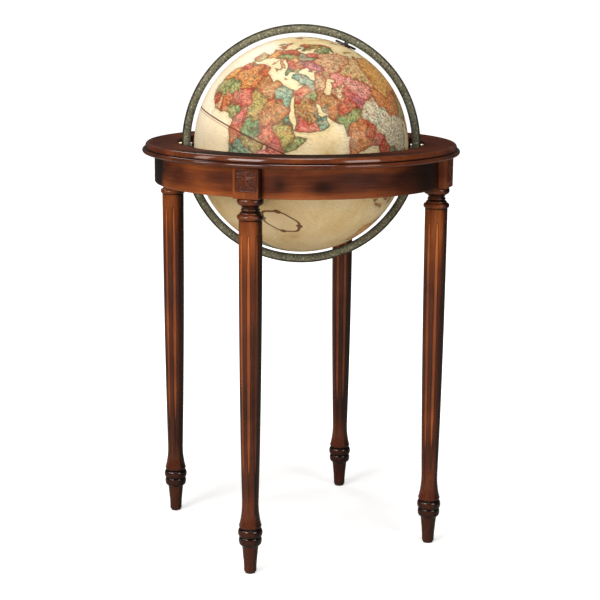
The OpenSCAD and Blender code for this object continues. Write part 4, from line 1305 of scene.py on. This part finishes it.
def map_fields(lon, lat):
    """At each place: signed distance to the coast, distance to the border, and the ink."""
    ball = sphere_points(lon, lat)
    bend_x = 0.9 * waves(ball, 0.16, 11) + 0.5 * waves(ball, 0.06, 12)
    bend_y = 0.9 * waves(ball, 0.16, 13) + 0.5 * waves(ball, 0.06, 14)
    shore_lon = lon + 0.42 * bend_x / np.maximum(0.25, np.cos(np.radians(lat)))
    shore_lat = np.clip(lat + 0.42 * bend_y, -90, 90)
    land = np.zeros(len(lon), bool)
    gap = np.full(len(lon), 30.0)
    for shape in LANDS:
        land |= inside(shape, shore_lon, shore_lat)
        gap = np.minimum(gap, nearest(shape, shore_lon, shore_lat))
    for shape in WATERS:
        land &= ~inside(shape, shore_lon, shore_lat)
        gap = np.minimum(gap, nearest(shape, shore_lon, shore_lat))
    pole_lon = lon + 1.6 * bend_x / np.maximum(0.3, np.cos(np.radians(lat)))
    pole_lat = np.clip(lat + 1.6 * bend_y, -89, 89)
    bent = sphere_points(pole_lon, pole_lat)
    spans = []
    for _, seeds in COUNTRIES:
        towards = sphere_points(seeds[:, 0], seeds[:, 1])
        spans.append(np.degrees(np.arccos(np.clip(bent @ towards.T, -1, 1))).min(1))
    spans = np.array(spans)
    order = np.argpartition(spans, 1, axis=0)[:2]
    first, second = np.take_along_axis(spans, order, 0)
    owner = order[0]
    inks = np.array([srgb(*INKS[ink])[:3] for ink, _ in COUNTRIES])
    return np.where(land, gap, -gap), np.abs(second - first) / 2, inks[owner]


def hemisphere(name, node, north, material):
    """Half of the ball with its printed map, as a thin closed shell."""
    hole = 8.1 * MM
    angles = np.linspace(0, math.acos(hole / BALL_R), ROWS) * (1 if north else -1)
    turns = np.arange(COLUMNS) * 2 * np.pi / COLUMNS
    inner_r = BALL_R - 3 * MM
    lat_grid, turn_grid = np.meshgrid(angles, turns, indexing="ij")
    flat = np.stack([np.cos(lat_grid) * np.sin(turn_grid), -np.cos(lat_grid) * np.cos(turn_grid),
                     np.sin(lat_grid)], -1).reshape(-1, 3)
    wall = angles[[-1, -1, 0]]
    radii = [BALL_R - 1 * MM, inner_r, inner_r]
    inner = []
    for angle, radius in zip(wall, radii):
        ring = np.stack([np.cos(angle) * np.sin(turns), -np.cos(angle) * np.cos(turns),
                         np.full(COLUMNS, np.sin(angle))], -1)
        inner.append(ring * radius)
    points = np.concatenate([flat * BALL_R] + inner)
    turned = np.array(POLAR)
    world = points @ turned[:3, :3].T + turned[:3, 3]
    piece = mesh_piece(name, world, hoop(ROWS + 3, COLUMNS), material, 50)
    ball = points / np.linalg.norm(points, axis=1)[:, None]
    true_lat = np.degrees(np.arcsin(np.clip(ball[:, 2], -1, 1)))
    lat = true_lat + PRINT_SHIFT * np.cos(np.radians(true_lat))
    lon = np.degrees(np.arctan2(ball[:, 0], -ball[:, 1])) + FACING
    coast, border, inks = map_fields(lon, lat)
    store(piece, "coast", np.clip(coast, -6, 6))
    store(piece, "border", np.clip(border, 0, 6))
    store(piece, "wash", 0.7 * bell((lon + 200) % 360 - 180, 2, 36) * smooth(-35, -10, lat)
          * smooth(62, 45, lat))
    # painted shade towards the south, standing in for the horizon ring's shadow on the ball
    store(piece, "painted_rim_shadow", 0.2 * smooth(2, -30, lat))
    tint = piece.data.attributes.new("tint", "FLOAT_COLOR", "POINT")
    tint.data.foreach_set("color", np.hstack([inks, np.ones((len(inks), 1))]).ravel())
    corners, owner = corners_of(piece)
    turn = (lon[corners] % 360) / 360
    highest = np.zeros(len(piece.data.polygons))
    np.maximum.at(highest, owner, turn)
    turn = np.where(highest[owner] - turn > 0.5, turn + 1, turn)
    layer = piece.data.uv_layers.new(name="degrees")
    layer.data.foreach_set("uv", np.stack([turn, (lat[corners] + 90) / 180], 1).ravel())
    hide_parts(node)
    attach(piece, "globe")


# ---------- putting it together ----------

def dress_hardware():
    """Better materials for the CAD pieces that are shown as they are."""
    steel = metal("zinc_steel", srgb(150, 148, 142), srgb(206, 204, 196), 0.34)
    brass = metal("aged_brass", srgb(150, 126, 86), srgb(220, 202, 160), 0.36)
    bronze = dial_bronze("dial_bronze", srgb(26, 14, 11), srgb(58, 32, 24), 0.3)
    dial_rim(bronze)
    plan = {
        steel: ["leg_bolts", "rim_screws", "pivot_screw_left", "pivot_screw_right", "north_pin",
                "south_pin", "north_nut", "south_nut"],
        brass: ["leg_inserts", "pivot_inserts", "pivot_washers", "north_bush", "south_bush"],
        bronze: ["time_dial"], dowel_wood(): ["apron_dowels"], moulded_nylon(): ["foot_glides"],
        pulp_board(): ["seam_band"]}
    for material, nodes in plan.items():
        for node in nodes:
            piece = frame["nodes"][node]
            piece.data.materials.clear()
            piece.data.materials.append(material)


def build():
    make_camera()
    make_studio()
    make_floor()
    rail_wood = wood("walnut_rail", 1.0, 0.3)
    horizon_ring(wood("walnut_ring", 0.7, 0.24, 0.8, True))
    leg_wood = wood("walnut_leg", 0.7, 0.2, 0.34)
    carved = wood("walnut_carved", 0.5, 0.18, 0.1)
    for i in range(4):
        apron(i, rail_wood)
        corner_block(i, rail_wood)
        carved_plaque(i, carved)
        leg(i, leg_wood)
    alloy = pewter()
    meridian_ring(alloy)
    meridian_marks(alloy)
    dial_marks(dial_bronze("dial_numbers", srgb(170, 160, 132), srgb(214, 206, 180), 0.4))
    printed = globe_map()
    hemisphere("north_hemisphere", "north_shell", True, printed)
    hemisphere("south_hemisphere", "south_shell", False, printed)
    dress_hardware()


build()
